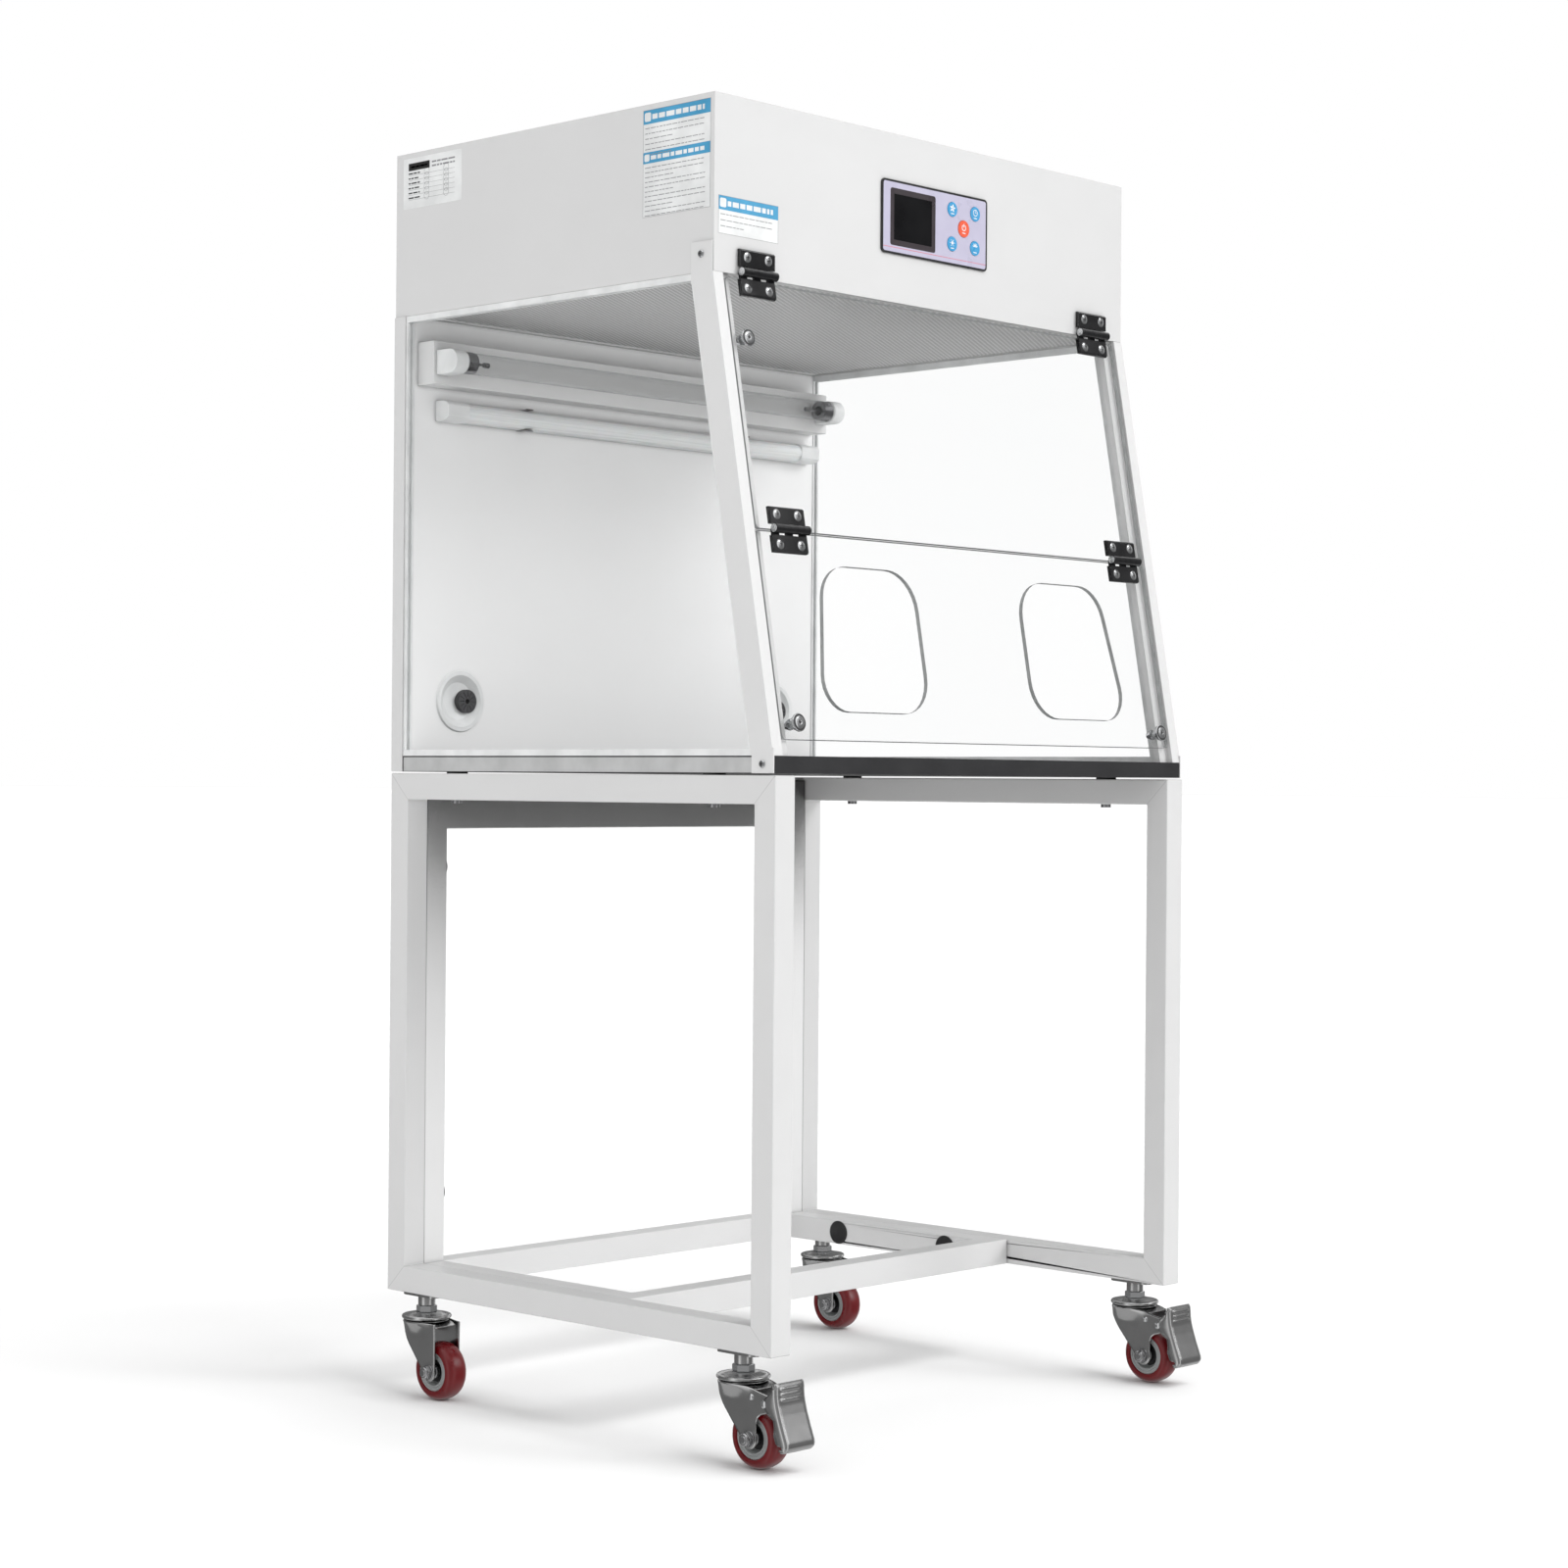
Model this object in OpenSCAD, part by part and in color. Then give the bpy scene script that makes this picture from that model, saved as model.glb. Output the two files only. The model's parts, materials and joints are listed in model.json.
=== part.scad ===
// Vertical-flow fume hood: a filter head and a glazed work chamber on a wheeled tube stand.
// Lengths are in millimetres. The origin lies on the floor under the middle of the object,
// +X points to the operator's right, +Y to the back and +Z up.

/* [Stand] */
// Width over the two side frames
stand_w = 700; // [620:5:800]
// Depth of the side frames
stand_d = 612; // [560:2:700]
// Height of the side frames
stand_h = 596; // [450:2:700]
// Side of the square frame tube
tube = 30; // [28:1:34]
// Wall of the frame tube
tube_wall = 2; // [1.5:0.5:3]
// Depth of the rail across the top of the back
rear_rail_h = 60; // [40:5:80]
// Front face of the rail across the middle of the base
mid_rail_y = 237; // [200:1:300]

/* [Casters] */
// Height from the floor to the underside of the stand
caster_h = 118; // [112:1:125]
// Radius of the wheel
wheel_r = 33; // [28:1:34]
// Width of the wheel
wheel_w = 28; // [24:1:30]
// Distance of the stems from the front and the back of the stand
stem_inset = 53; // [50:1:70]
// Distance of the axle ahead of the stem
trail = 26; // [22:1:28]

/* [Chamber] */
// Thickness of the worktop
worktop_t = 18; // [16:1:25]
// Height of the underside of the head above the stand's underside
head_z = 1122; // [1100:2:1140]
// Distance of the head's front face behind the stand's front
head_setback = 96; // [90:2:110]
// Thickness of the clear panels
glass_t = 5; // [4:0.5:6]
// Front face of the back wall
wall_y = 591; // [585:1:595]
// Height of the joint between the two sashes, measured up the slope
split_s = 260; // [250:5:270]
// Height of the lower sash's bottom edge, measured up the slope
sash_s = 38; // [34:1:50]

/* [Head] */
// Height of the head
head_h = 187; // [170:1:200]
// Thickness of the folded sheet
sheet = 1.5; // [1.5:0.5:2]
// Width of the control panel
panel_w = 181; // [170:1:190]
// Height of the control panel
panel_h = 82; // [78:1:90]
// Distance of the control panel's middle to the right of the head's middle
panel_x = 3; // [-20:1:20]

/* [Hinges] */
// Width of each hinge
hinge_w = 52; // [44:2:56]
// Distance of each hinge's middle from the centre plane
hinge_x = 287; // [270:1:295]
// Thickness of the leaves
leaf_t = 5; // [4:0.5:5]
// Distance from the face under a leaf to the hinge's axis
axis_out = 8; // [8:0.5:10]

/* [Hidden] */
$fn = 48;
eps = 0.01;
gap = 0.2;

// Reach of the brake pedals ahead of the stand, and the middle of the whole depth
pedal_reach = 32;
inlet_proud = 2;
mid_y = (stand_d + inlet_proud - pedal_reach) / 2;

half_w = stand_w / 2;
inner_x = half_w - tube;
pad_t = 2;
worktop_z = stand_h + pad_t;
worktop_top = worktop_z + worktop_t;
worktop_front = 3;
slope = atan(head_setback / (head_z - stand_h));
head_x = half_w - sheet - 0.1;
head_y = head_setback;
head_top = head_z + head_h;
ceiling_z = head_z + sheet;

// Front posts: side flange, front face, rebate for the sash and ledge behind it
flange_n = 31;
post_face = 15;
rebate_n = 7;
ledge = 15;
lip_n = 15;
sash_n = 1;
sash_half = half_w - post_face - 3.5;
sash_top = 531;

// Sash hinge axes: the upper one is square to the head, the lower one rides on the slope
top_axis_z = head_z + 2.5;
top_axis_y = (sash_n - axis_out + (top_axis_z - stand_h) * sin(slope)) / cos(slope);
mid_axis_n = sash_n - axis_out;
barrel_r = 5;
pin_r = 2;
leaf_reach = 24.5;

bolt_r = 4;
bolt_ys = [312, 490];
bolt_zs = [110, 488];
hood_bolt_ys = [102, 513];
stem_ys = [stem_inset, stand_d - stem_inset];
port_x = 265;
port_z = 681;

// Blue and red buttons on the control panel
button_z = head_z + 96.5;
button_pitch = 20;
button_x = panel_x + 48.7;
small_button_r = 8.2;
large_button_r = 9.5;
button_travel = 0.8;
panel_z = head_z + 94;
panel_proud = 2;
screen_x = panel_x - 38.3;
screen_z = button_z - 2;
screen_w = 64;
screen_h = 51;

fan_y = (head_y + stand_d) / 2;
fan_z = head_z + 84;
fan_r = 120;
shaft_r = 6;

// A point list with each corner rounded by an arc
function unit(v) = v / norm(v);
function arc(centre, r, from, sweep, steps) =
    [for (i = [0:steps]) centre + r * [cos(from + sweep * i / steps), sin(from + sweep * i / steps)]];
function round_corner(a, b, c, r, steps) =
    let (
        u = unit(a - b),
        w = unit(c - b),
        half = acos(u * w) / 2,
        centre = b + unit(u + w) * r / sin(half),
        start = b + u * r / tan(half) - centre,
        finish = b + w * r / tan(half) - centre,
        from = atan2(start.y, start.x),
        turn = (atan2(finish.y, finish.x) - from + 540) % 360 - 180
    )
    arc(centre, r, from, turn, steps);
function rounded(points, radii, steps = 6) =
    let (n = len(points))
    [for (i = [0:n - 1]) each round_corner(
        points[(i + n - 1) % n], points[i], points[(i + 1) % n], radii[i], steps)];
function rounded_box(w, h, r) =
    rounded([[-w / 2, -h / 2], [w / 2, -h / 2], [w / 2, h / 2], [-w / 2, h / 2]], [r, r, r, r]);

// Coordinates from the stand: Y from its front face, Z from its underside
module at_stand() translate([0, -mid_y, caster_h]) children();
// Coordinates on the sloping front: Y into the chamber, Z up the slope
module on_slope() at_stand() translate([0, 0, stand_h]) rotate([-slope, 0, 0]) children();
module both_sides() {
    children();
    mirror([1, 0, 0]) children();
}
module box(low, high) translate(low) cube(high - low);
module along_x(r, x0, x1) translate([x0, 0, 0]) rotate([0, 90, 0]) cylinder(r = r, h = x1 - x0);
module along_y(r, y0, y1) translate([0, y1, 0]) rotate([90, 0, 0]) cylinder(r = r, h = y1 - y0);

// ---------------------------------------------------------------- stand

module left_frame_shape() {
    x = -half_w;
    difference() {
        box([x, 0, 0], [x + tube, stand_d, stand_h]);
        box([x - 1, tube, tube], [x + tube + 1, stand_d - tube, stand_h - tube]);
        difference() {
            box([x + tube_wall, tube_wall, tube_wall],
                [x + tube - tube_wall, stand_d - tube_wall, stand_h - tube_wall]);
            box([x, tube - tube_wall, tube - tube_wall],
                [x + tube, stand_d - tube + tube_wall, stand_h - tube + tube_wall]);
        }
        for (y = stem_ys) translate([x + tube / 2, y, -1]) cylinder(r = 6 + gap, h = tube_wall + 2);
        for (y = bolt_ys) translate([0, y, tube / 2]) along_x(bolt_r + gap, x + tube / 2, x + tube + 1);
        for (z = bolt_zs) translate([0, stand_d - tube / 2, z])
            along_x(bolt_r + gap, x + tube / 2, x + tube + 1);
        for (y = hood_bolt_ys) translate([x + tube / 2, y, stand_h - tube - 1])
            cylinder(r = 3 + gap, h = tube + 2);
    }
}
module left_side_frame() at_stand() color("whitesmoke") left_frame_shape();
module right_side_frame() at_stand() color("whitesmoke") mirror([1, 0, 0]) left_frame_shape();

// Inner frames: hollow tubes welded together, with access holes under the plugs
module tube_x(x0, x1, y, z, h = tube) box([x0, y, z], [x1, y + tube, z + h]);
module bore_x(x0, x1, y, z, h = tube)
    box([x0, y + tube_wall, z + tube_wall], [x1, y + tube - tube_wall, z + h - tube_wall]);
module plug_holes(r, outer_r) {
    x = -inner_x;
    along_x(r, x - 1, x + tube_wall + 1);
    along_x(outer_r, x + tube - tube_wall - 1, x + tube + 1);
}
module rear_inner_frame() {
    y = stand_d - tube;
    top = stand_h - 4;
    color("whitesmoke") at_stand() difference() {
        union() {
            both_sides() box([-inner_x, y, 0], [-inner_x + tube, stand_d, top]);
            tube_x(-inner_x, inner_x, y, 0);
            tube_x(-inner_x, inner_x, y, top - rear_rail_h, rear_rail_h);
        }
        both_sides() {
            box([-inner_x + tube_wall, y + tube_wall, tube_wall],
                [-inner_x + tube - tube_wall, stand_d - tube_wall, top + 1]);
            for (z = bolt_zs) translate([0, stand_d - tube / 2, z]) plug_holes(bolt_r + gap, 11);
        }
        bore_x(-inner_x + tube_wall, inner_x - tube_wall, y, 0);
        bore_x(-inner_x + tube_wall, inner_x - tube_wall, y, top - rear_rail_h, rear_rail_h);
    }
}
module base_inner_frame() {
    back = stand_d - tube - 0.3;
    color("whitesmoke") at_stand() difference() {
        union() {
            tube_x(-inner_x, inner_x, mid_rail_y, 0);
            both_sides() box([-inner_x, mid_rail_y, 0], [-inner_x + tube, back, tube]);
        }
        both_sides() {
            box([-inner_x + tube_wall, mid_rail_y + tube_wall, tube_wall],
                [-inner_x + tube - tube_wall, back + 1, tube - tube_wall]);
            for (y = bolt_ys) translate([0, y, tube / 2]) plug_holes(bolt_r + gap, 11);
        }
        bore_x(-inner_x + tube_wall, inner_x - tube_wall, mid_rail_y, 0);
    }
}

// A cap screw through the touching walls of an inner and an outer tube
module joining_bolt() {
    x = -inner_x;
    along_x(bolt_r, x - tube_wall - 8, x + tube_wall + 1);
    along_x(6.5, x + tube_wall + eps, x + tube_wall + 8);
    along_x(7, x - tube_wall - 6.5, x - tube_wall - eps);
}
module frame_bolts() {
    color("silver") at_stand() both_sides() {
        for (y = bolt_ys) translate([0, y, tube / 2]) joining_bolt();
        for (z = bolt_zs) translate([0, stand_d - tube / 2, z]) joining_bolt();
    }
}
module plug() {
    face = -inner_x + tube;
    along_x(10.8, face - 5, face + 1);
    translate([face, 0, 0]) rotate([0, 90, 0]) rotate_extrude()
        polygon([[0, 0.05], [14.6, 0.05], [14.6, 0.8], [12.5, 1.9], [8, 2.6], [0, 2.9]]);
}
module frame_plugs() {
    color("dimgray") at_stand() both_sides() {
        for (y = bolt_ys) translate([0, y, tube / 2]) plug();
        for (z = bolt_zs) translate([0, stand_d - tube / 2, z]) plug();
    }
}

// ---------------------------------------------------------------- casters

axle_z = wheel_r - caster_h;
axle_r = 4;
king_r = 5;
race_z = -28.5;
fork_in = wheel_w / 2 + 2;
fork_t = 2;

// Mounting plate, collar, nut, dished raceway and kingpin, all fixed to the stand
module caster_mount() {
    translate([0, 0, -2.2]) linear_extrude(2.2 - eps)
        polygon(rounded_box(tube, 56, 8));
    translate([0, 0, -13]) cylinder(r = 9.8, h = 11);
    translate([0, 0, -21.5]) cylinder(r = 12, h = 8.6, $fn = 6);
    translate([0, 0, race_z + 0.4]) rotate_extrude()
        polygon([[0, 0], [26, 0], [28.4, 1.6], [28.4, 3], [26, 5], [14, 7.4], [0, 7.4]]);
    translate([0, 0, race_z - 9]) cylinder(r = king_r, h = 10);
    translate([0, 0, race_z - 9]) cylinder(r = 8, h = 4);
    cylinder(r = 6, h = tube - tube_wall - 4);
}
module caster_mounts() {
    color("silver") at_stand() for (side = [-1, 1], y = stem_ys)
        translate([side * (half_w - tube / 2), y, 0]) caster_mount();
}

// Outline of a fork cheek, seen from the side; the braked one has an arm for the pedal
function cheek(braked) = let (
        top = race_z - 1.5,
        ay = -trail,
        tip = braked ? [[-42, -57], [-56, -60], [-59, -52], [-56, -45]] : [],
        front = braked ? [[-30, top - 1.5]] : [[-35, -50], [-35, top]]
    )
    concat(
        [[24, top], [24, -48]],
        arc([ay, axle_z], 11, -15, -150, 8),
        [[ay - 11, braked ? -62 : -60]], tip, front);
module fork(braked) {
    for (side = [-1, 1]) translate([side * (fork_in + fork_t / 2) - fork_t / 2, 0, 0])
        difference() {
            rotate([90, 0, 90]) linear_extrude(fork_t) polygon(cheek(braked));
            translate([0, -trail, axle_z]) along_x(axle_r + gap, -1, fork_t + 1);
        }
    difference() {
        union() {
            translate([0, 0, race_z - 3.5]) cylinder(r = 26.5, h = 3);
            translate([-fork_in - fork_t, -28, race_z - 4]) cube([2 * (fork_in + fork_t), 50, 2.5]);
            translate([0, 0, race_z - 2]) cylinder(r = 24, h = 1.7);
        }
        translate([0, 0, race_z - 6]) cylinder(r = king_r + 0.05, h = 8);
    }
    translate([0, -trail, axle_z]) {
        along_x(axle_r, -fork_in - fork_t - 9, fork_in + fork_t + 1);
        along_x(8, fork_in + fork_t, fork_in + fork_t + 5);
        rotate([0, 90, 0]) translate([0, 0, -fork_in - fork_t - 6.5]) cylinder(r = 8, h = 6.5, $fn = 6);
    }
    if (braked) translate([0, -50, -52]) along_x(2.5, -fork_in - fork_t - 4.4, fork_in + fork_t + 4.4);
}
module at_caster(side, row) at_stand() translate([side * (half_w - tube / 2), stem_ys[row], 0]) children();
module front_left_fork() color("darkgray") at_caster(-1, 0) fork(true);
module front_right_fork() color("darkgray") at_caster(1, 0) fork(true);
module rear_left_fork() color("darkgray") at_caster(-1, 1) fork(false);
module rear_right_fork() color("darkgray") at_caster(1, 1) fork(false);

// Tyre on a hub that is dished on both sides round its bearing boss
module wheel() {
    half = wheel_w / 2;
    hub_r = wheel_r * 0.66;
    bore_r = axle_r + 0.05;
    side_profile = [[12, half - 6], [16, half - 3], [19, half - 1.5], [hub_r, half - 1.5]];
    translate([0, -trail, axle_z]) rotate([0, 90, 0]) rotate_extrude()
        polygon(concat(
            [[bore_r, half], [8.5, half], [8.5, half - 6]],
            side_profile,
            arc([wheel_r - 9, half - 9], 9, 90, -90, 8),
            arc([wheel_r - 9, 9 - half], 9, 0, -90, 8),
            [for (i = [3:-1:0]) [side_profile[i].x, -side_profile[i].y]],
            [[8.5, 6 - half], [8.5, -half], [bore_r, -half]]));
}
module front_left_wheel() color("firebrick") at_caster(-1, 0) wheel();
module front_right_wheel() color("firebrick") at_caster(1, 0) wheel();
module rear_left_wheel() color("firebrick") at_caster(-1, 1) wheel();
module rear_right_wheel() color("firebrick") at_caster(1, 1) wheel();

// Pressed pedal: bent tread plate with two cheeks that hang on the rivet
module pedal() {
    half = 21;
    reach = stem_inset + pedal_reach;
    tread = [
        [-69, -28], [-67, -29.5], [-64, -44], [-66, -60], [4 - reach, -80], [6 - reach, -87],
        [13 - reach, -91], [11 - reach, -93], [3 - reach, -90], [-reach, -81], [-69, -60], [-67, -44]
    ];
    rotate([90, 0, 90]) translate([0, 0, -half]) linear_extrude(2 * half) polygon(tread);
    both_sides() difference() {
        rotate([90, 0, 90]) translate([0, 0, -half]) linear_extrude(1.6)
            polygon([[-66, -36], [-50, -46], [-45, -52], [-50, -58], [-60, -62], [-68, -66]]);
        translate([0, -50, -52]) along_x(2.5 + 0.05, -half - 1, -half + 3);
    }
}
module front_left_pedal() color("silver") at_caster(-1, 0) pedal();
module front_right_pedal() color("silver") at_caster(1, 0) pedal();

// ---------------------------------------------------------------- work chamber

module hood_pads() {
    color("dimgray") at_stand() both_sides() for (y = hood_bolt_ys)
        translate([-half_w + tube / 2, y, stand_h]) difference() {
            cylinder(r = 12, h = pad_t);
            translate([0, 0, -1]) cylinder(r = 3 + gap, h = pad_t + 2);
        }
}
module hood_bolts() {
    color("silver") at_stand() both_sides() for (y = hood_bolt_ys)
        translate([-half_w + tube / 2, y, 0]) {
            translate([0, 0, stand_h - tube - 4]) cylinder(r = 6, h = 4 - eps);
            translate([0, 0, stand_h - tube - 2]) cylinder(r = 3, h = tube + pad_t + 12);
        }
}
module worktop() {
    side = head_x - sheet;
    color("dimgray") at_stand() difference() {
        box([-side, worktop_front, worktop_z], [side, stand_d - 2 * sheet, worktop_top]);
        both_sides() {
            for (y = hood_bolt_ys) translate([-half_w + tube / 2, y, worktop_z - 1])
                cylinder(r = 3 + gap, h = 13);
            translate([0, worktop_front + 15.5, worktop_z + 9.5]) along_x(2 + gap, -half_w - 1, -side + 9);
        }
    }
}
module worktop_edge_rails() {
    side = head_x - sheet;
    color("silver") at_stand() both_sides()
        box([-head_x, worktop_front + flange_n + 1, worktop_z + 0.5],
            [-side - eps, stand_d - 20, worktop_top - 1.5]);
}

// Cross-section of the left post, in X and depth: flange, face, rebate, ledge and lip
function post_profile() = let (x = -half_w, t = sheet) [
    [x, 0], [x + post_face, 0], [x + post_face, rebate_n], [x + post_face + ledge, rebate_n],
    [x + post_face + ledge, lip_n], [x + post_face + ledge - t, lip_n],
    [x + post_face + ledge - t, rebate_n + t], [x + post_face - t, rebate_n + t],
    [x + post_face - t, t], [x + t, t], [x + t, flange_n], [x, flange_n]
];
module left_post_shape() {
    difference() {
        union() {
            intersection() {
                translate([0, 0, stand_h]) rotate([-slope, 0, 0])
                    linear_extrude(2 * head_setback + 500) polygon(post_profile());
                box([-half_w - 1, -50, worktop_top], [0, stand_d, head_z - 0.3]);
            }
            box([-half_w, head_y + 1, head_z - 12], [-half_w + sheet, head_y + 32, head_z + 32]);
            box([-half_w, worktop_front, worktop_z], [-half_w + sheet, worktop_front + 31, worktop_top + 8]);
        }
        translate([0, head_y + 17, head_z + 19]) along_x(2 + gap, -half_w - 1, -half_w + 3);
        translate([0, worktop_front + 15.5, worktop_z + 9.5]) along_x(2 + gap, -half_w - 1, -half_w + 3);
    }
}
module left_front_post() at_stand() color("white") left_post_shape();
module right_front_post() at_stand() color("white") mirror([1, 0, 0]) left_post_shape();

// Side opening between post, head, rear post and worktop, seen from the side, drawn in by inset
function side_outline(inset) = let (
        z0 = worktop_top + inset,
        z1 = head_z - 0.3 - inset,
        n = flange_n - 4 + inset,
        y_at = function (z) (n + (z - stand_h) * sin(slope)) / cos(slope)
    )
    [[y_at(z0), z0], [stand_d - 15 - inset, z0], [stand_d - 15 - inset, z1], [y_at(z1), z1]];
module side_prism(inset, x0, x1) translate([x0, 0, 0]) rotate([90, 0, 90])
    linear_extrude(x1 - x0) polygon(side_outline(inset));
module left_trim_shape() {
    difference() {
        side_prism(0, -head_x, -head_x + 10);
        side_prism(7, -head_x - 1, -head_x + 11);
        side_prism(3, -head_x + 2.4, -head_x + 2.6 + glass_t);
    }
}
module left_window_trim() at_stand() color("gainsboro") left_trim_shape();
module right_window_trim() at_stand() color("gainsboro") mirror([1, 0, 0]) left_trim_shape();
module left_glass_shape() side_prism(3.1, -head_x + 2.5, -head_x + 2.5 + glass_t);
module left_window() at_stand() color("lightblue", 0.3) left_glass_shape();
module right_window() at_stand() color("lightblue", 0.3) mirror([1, 0, 0]) left_glass_shape();

// Back wall: an inner liner folded back at its edges and a flat outer panel with side flanges
port_sleeve_r = 31;
module port_bores(y0, y1) for (x = [-port_x, port_x])
    translate([x, 0, port_z]) along_y(port_sleeve_r + gap, y0, y1);
module back_liner() {
    x = head_x - 10.2;
    back = stand_d - sheet - eps;
    color("white") at_stand() difference() {
        box([-x, wall_y, worktop_top + eps], [x, back, head_z - 0.3]);
        box([-x + sheet, wall_y + sheet, worktop_top + sheet], [x - sheet, back + 1, head_z - 0.3 - sheet]);
        port_bores(wall_y - 1, wall_y + 5);
    }
}
module rear_panel() {
    color("white") at_stand() difference() {
        union() {
            box([-half_w, stand_d - sheet, worktop_z], [half_w, stand_d, head_z - 0.3]);
            both_sides() box([-half_w, stand_d - 19, worktop_z], [-half_w + sheet, stand_d, head_z - 0.3]);
        }
        port_bores(stand_d - 5, stand_d + 1);
    }
}

// Cable port: flange, sleeve and a dished cap with an off-centre hole for the grommet
grommet_x = 12;
module cable_port() {
    difference() {
        rotate([90, 0, 0]) rotate_extrude() polygon([
            [0, -wall_y - 8], [22, -wall_y - 4], [28.5, 0.5 - wall_y], [30.5, 2 - wall_y],
            [35, 2 - wall_y], [36.5, 0.05 - wall_y], [port_sleeve_r, 0.05 - wall_y],
            [port_sleeve_r, -stand_d - 1], [29, -stand_d - 1], [29, -wall_y - 6],
            [22, -wall_y - 7], [0, -wall_y - 11]
        ]);
        translate([grommet_x, 0, 0]) along_y(14, wall_y - 5, wall_y + 15);
    }
}
module cable_ports() {
    color("gainsboro") at_stand() for (x = [-port_x, port_x]) translate([x, 0, port_z]) cable_port();
}
module port_grommets() {
    color("dimgray") at_stand() for (x = [-port_x, port_x])
        translate([x + grommet_x, 0, port_z]) rotate([90, 0, 0]) translate([0, 0, -wall_y - 12])
            difference() {
                cylinder(r = 13.8, h = 12);
                translate([0, 0, -1]) cylinder(r = 3, h = 14);
                for (a = [0:30:330]) rotate(a) translate([5, -0.4, 4]) cube([7, 0.8, 9]);
            }
}

// Pan-head screws at the ends of the posts, along the back and round the top cover
module screw_out(r = 4.2) {
    translate([0, 0, -8]) cylinder(r = 2, h = 8);
    rotate_extrude() polygon([[0, 0.02], [r, 0.02], [r, 0.9], [r * 0.75, 1.9], [0, 2.3]]);
}
module casing_screws() {
    color("silver") at_stand() both_sides() {
        translate([-half_w, head_y + 17, head_z + 19]) rotate([0, -90, 0]) screw_out();
        translate([-half_w, worktop_front + 15.5, worktop_z + 9.5]) rotate([0, -90, 0]) screw_out();
    }
}

// ---------------------------------------------------------------- front sashes

function sash_blank(s0, s1) =
    rounded([[-sash_half, s0], [sash_half, s0], [sash_half, s1], [-sash_half, s1]], [6, 6, 6, 6]);
// Arm hole: upright on its inner side and leaning outwards on its outer side
function arm_hole() = rounded(
    [[90, sash_s + 31], [262, sash_s + 31], [236, sash_s + 189], [90, sash_s + 189]],
    [42, 34, 42, 44], 8);
module sash_plate(s0, s1) translate([0, sash_n + glass_t, 0]) rotate([90, 0, 0])
    linear_extrude(glass_t) polygon(sash_blank(s0, s1));
knob_x = 311.5;
knob_s = 54.5;
catch_s = 2 * split_s - knob_s;
module knob_bores(s) both_sides() translate([knob_x, 0, s]) along_y(2 + gap, -2, 12);
module leaf_bores(s) both_sides() for (dx = [-16, 16]) translate([hinge_x + dx, 0, s])
    along_y(2 + gap, -2, 12);
leaf_hole = 16;
top_leaf_s = top_axis_y * sin(slope) + (top_axis_z - stand_h) * cos(slope) - leaf_hole;
module upper_sash() {
    color("lightblue", 0.3) on_slope() difference() {
        sash_plate(split_s + 1, sash_top);
        translate([-knob_x, 0, catch_s]) along_y(2 + gap, -2, 12);
        leaf_bores(split_s + leaf_hole);
        leaf_bores(top_leaf_s);
    }
}
module lower_sash() {
    color("lightblue", 0.3) on_slope() difference() {
        sash_plate(sash_s, split_s - 1);
        both_sides() translate([0, sash_n + glass_t + 1, 0]) rotate([90, 0, 0])
            linear_extrude(glass_t + 2) polygon(arm_hole());
        knob_bores(knob_s);
        leaf_bores(split_s - leaf_hole);
    }
}

// Chrome knob on a stud through the glass, with a conical nut behind it
module knob(height) {
    face = sash_n - 0.02;
    back = sash_n + glass_t + 0.02;
    rotate([90, 0, 0]) rotate_extrude() polygon([
        [0, -face], [6.5, -face], [5.6, height * 0.3 - face], [9.6, height * 0.55 - face],
        [9.6, height * 0.82 - face], [8.4, height - face], [4, height - face - 0.6], [0, height - face - 0.8]
    ]);
    rotate([90, 0, 0]) rotate_extrude()
        polygon([[0, -back], [6, -back], [6, -back - 1.5], [3.5, -back - 7.5], [0, -back - 7.5]]);
    along_y(2, face - 1, back + 1);
}
module lower_sash_knobs() color("silver") on_slope() both_sides() translate([knob_x, 0, knob_s]) knob(9.5);
module upper_sash_catch() color("silver") on_slope() translate([-knob_x, 0, catch_s]) knob(6);

// Half of a block hinge. Z runs away from the axis, Y points into the face that carries the leaf,
// and the leaf's back lies axis_out behind the axis. Odd and even knuckles belong to the two halves.
knuckle = hinge_w / 5;
module leaf(knuckles, with_pin, out = axis_out) {
    running = 0.15;
    half = hinge_w / 2;
    difference() {
        union() {
            difference() {
                box([-half, out - leaf_t, barrel_r + 1.2], [half, out, leaf_reach]);
                translate([0, out - leaf_t, leaf_reach]) rotate([45, 0, 0])
                    cube([hinge_w + 2, 2.6, 2.6], center = true);
            }
            for (k = knuckles) translate([-half + k * knuckle + running, 0, 0]) {
                along_x(barrel_r, 0, knuckle - 2 * running);
                box([0, out - leaf_t, 0], [knuckle - 2 * running, out - 2.2, barrel_r + 2]);
            }
        }
        along_x(with_pin ? pin_r : pin_r + 0.05, -half - 1, half + 1);
        for (dx = [-16, 16]) translate([dx, 0, leaf_hole]) {
            along_y(2 + gap, 0, out + 1);
            translate([0, out - leaf_t, 0]) rotate([90, 0, 0]) translate([0, 0, -3.1])
                cylinder(r1 = 2.2, r2 = 5.4, h = 3.2);
        }
    }
    for (dx = [-16, 16]) translate([dx, 0, leaf_hole]) {
        along_y(2, out - leaf_t + 1, out + 4);
        translate([0, out - leaf_t + 0.3, 0]) rotate([90, 0, 0]) translate([0, 0, -2.8])
            cylinder(r1 = 2, r2 = 4.9, h = 2.8);
    }
    if (with_pin) along_x(pin_r, -half - 0.8, half + 0.8);
}
module hinges(knuckles, with_pin, out = axis_out) for (x = [-hinge_x, hinge_x])
    translate([x, 0, 0]) leaf(knuckles, with_pin, out);
module flipped() mirror([0, 0, 1]) children();
module head_hinge_leaves() {
    color("dimgray") at_stand() translate([0, top_axis_y, top_axis_z])
        hinges([1, 3], true, head_y - top_axis_y);
}
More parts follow.
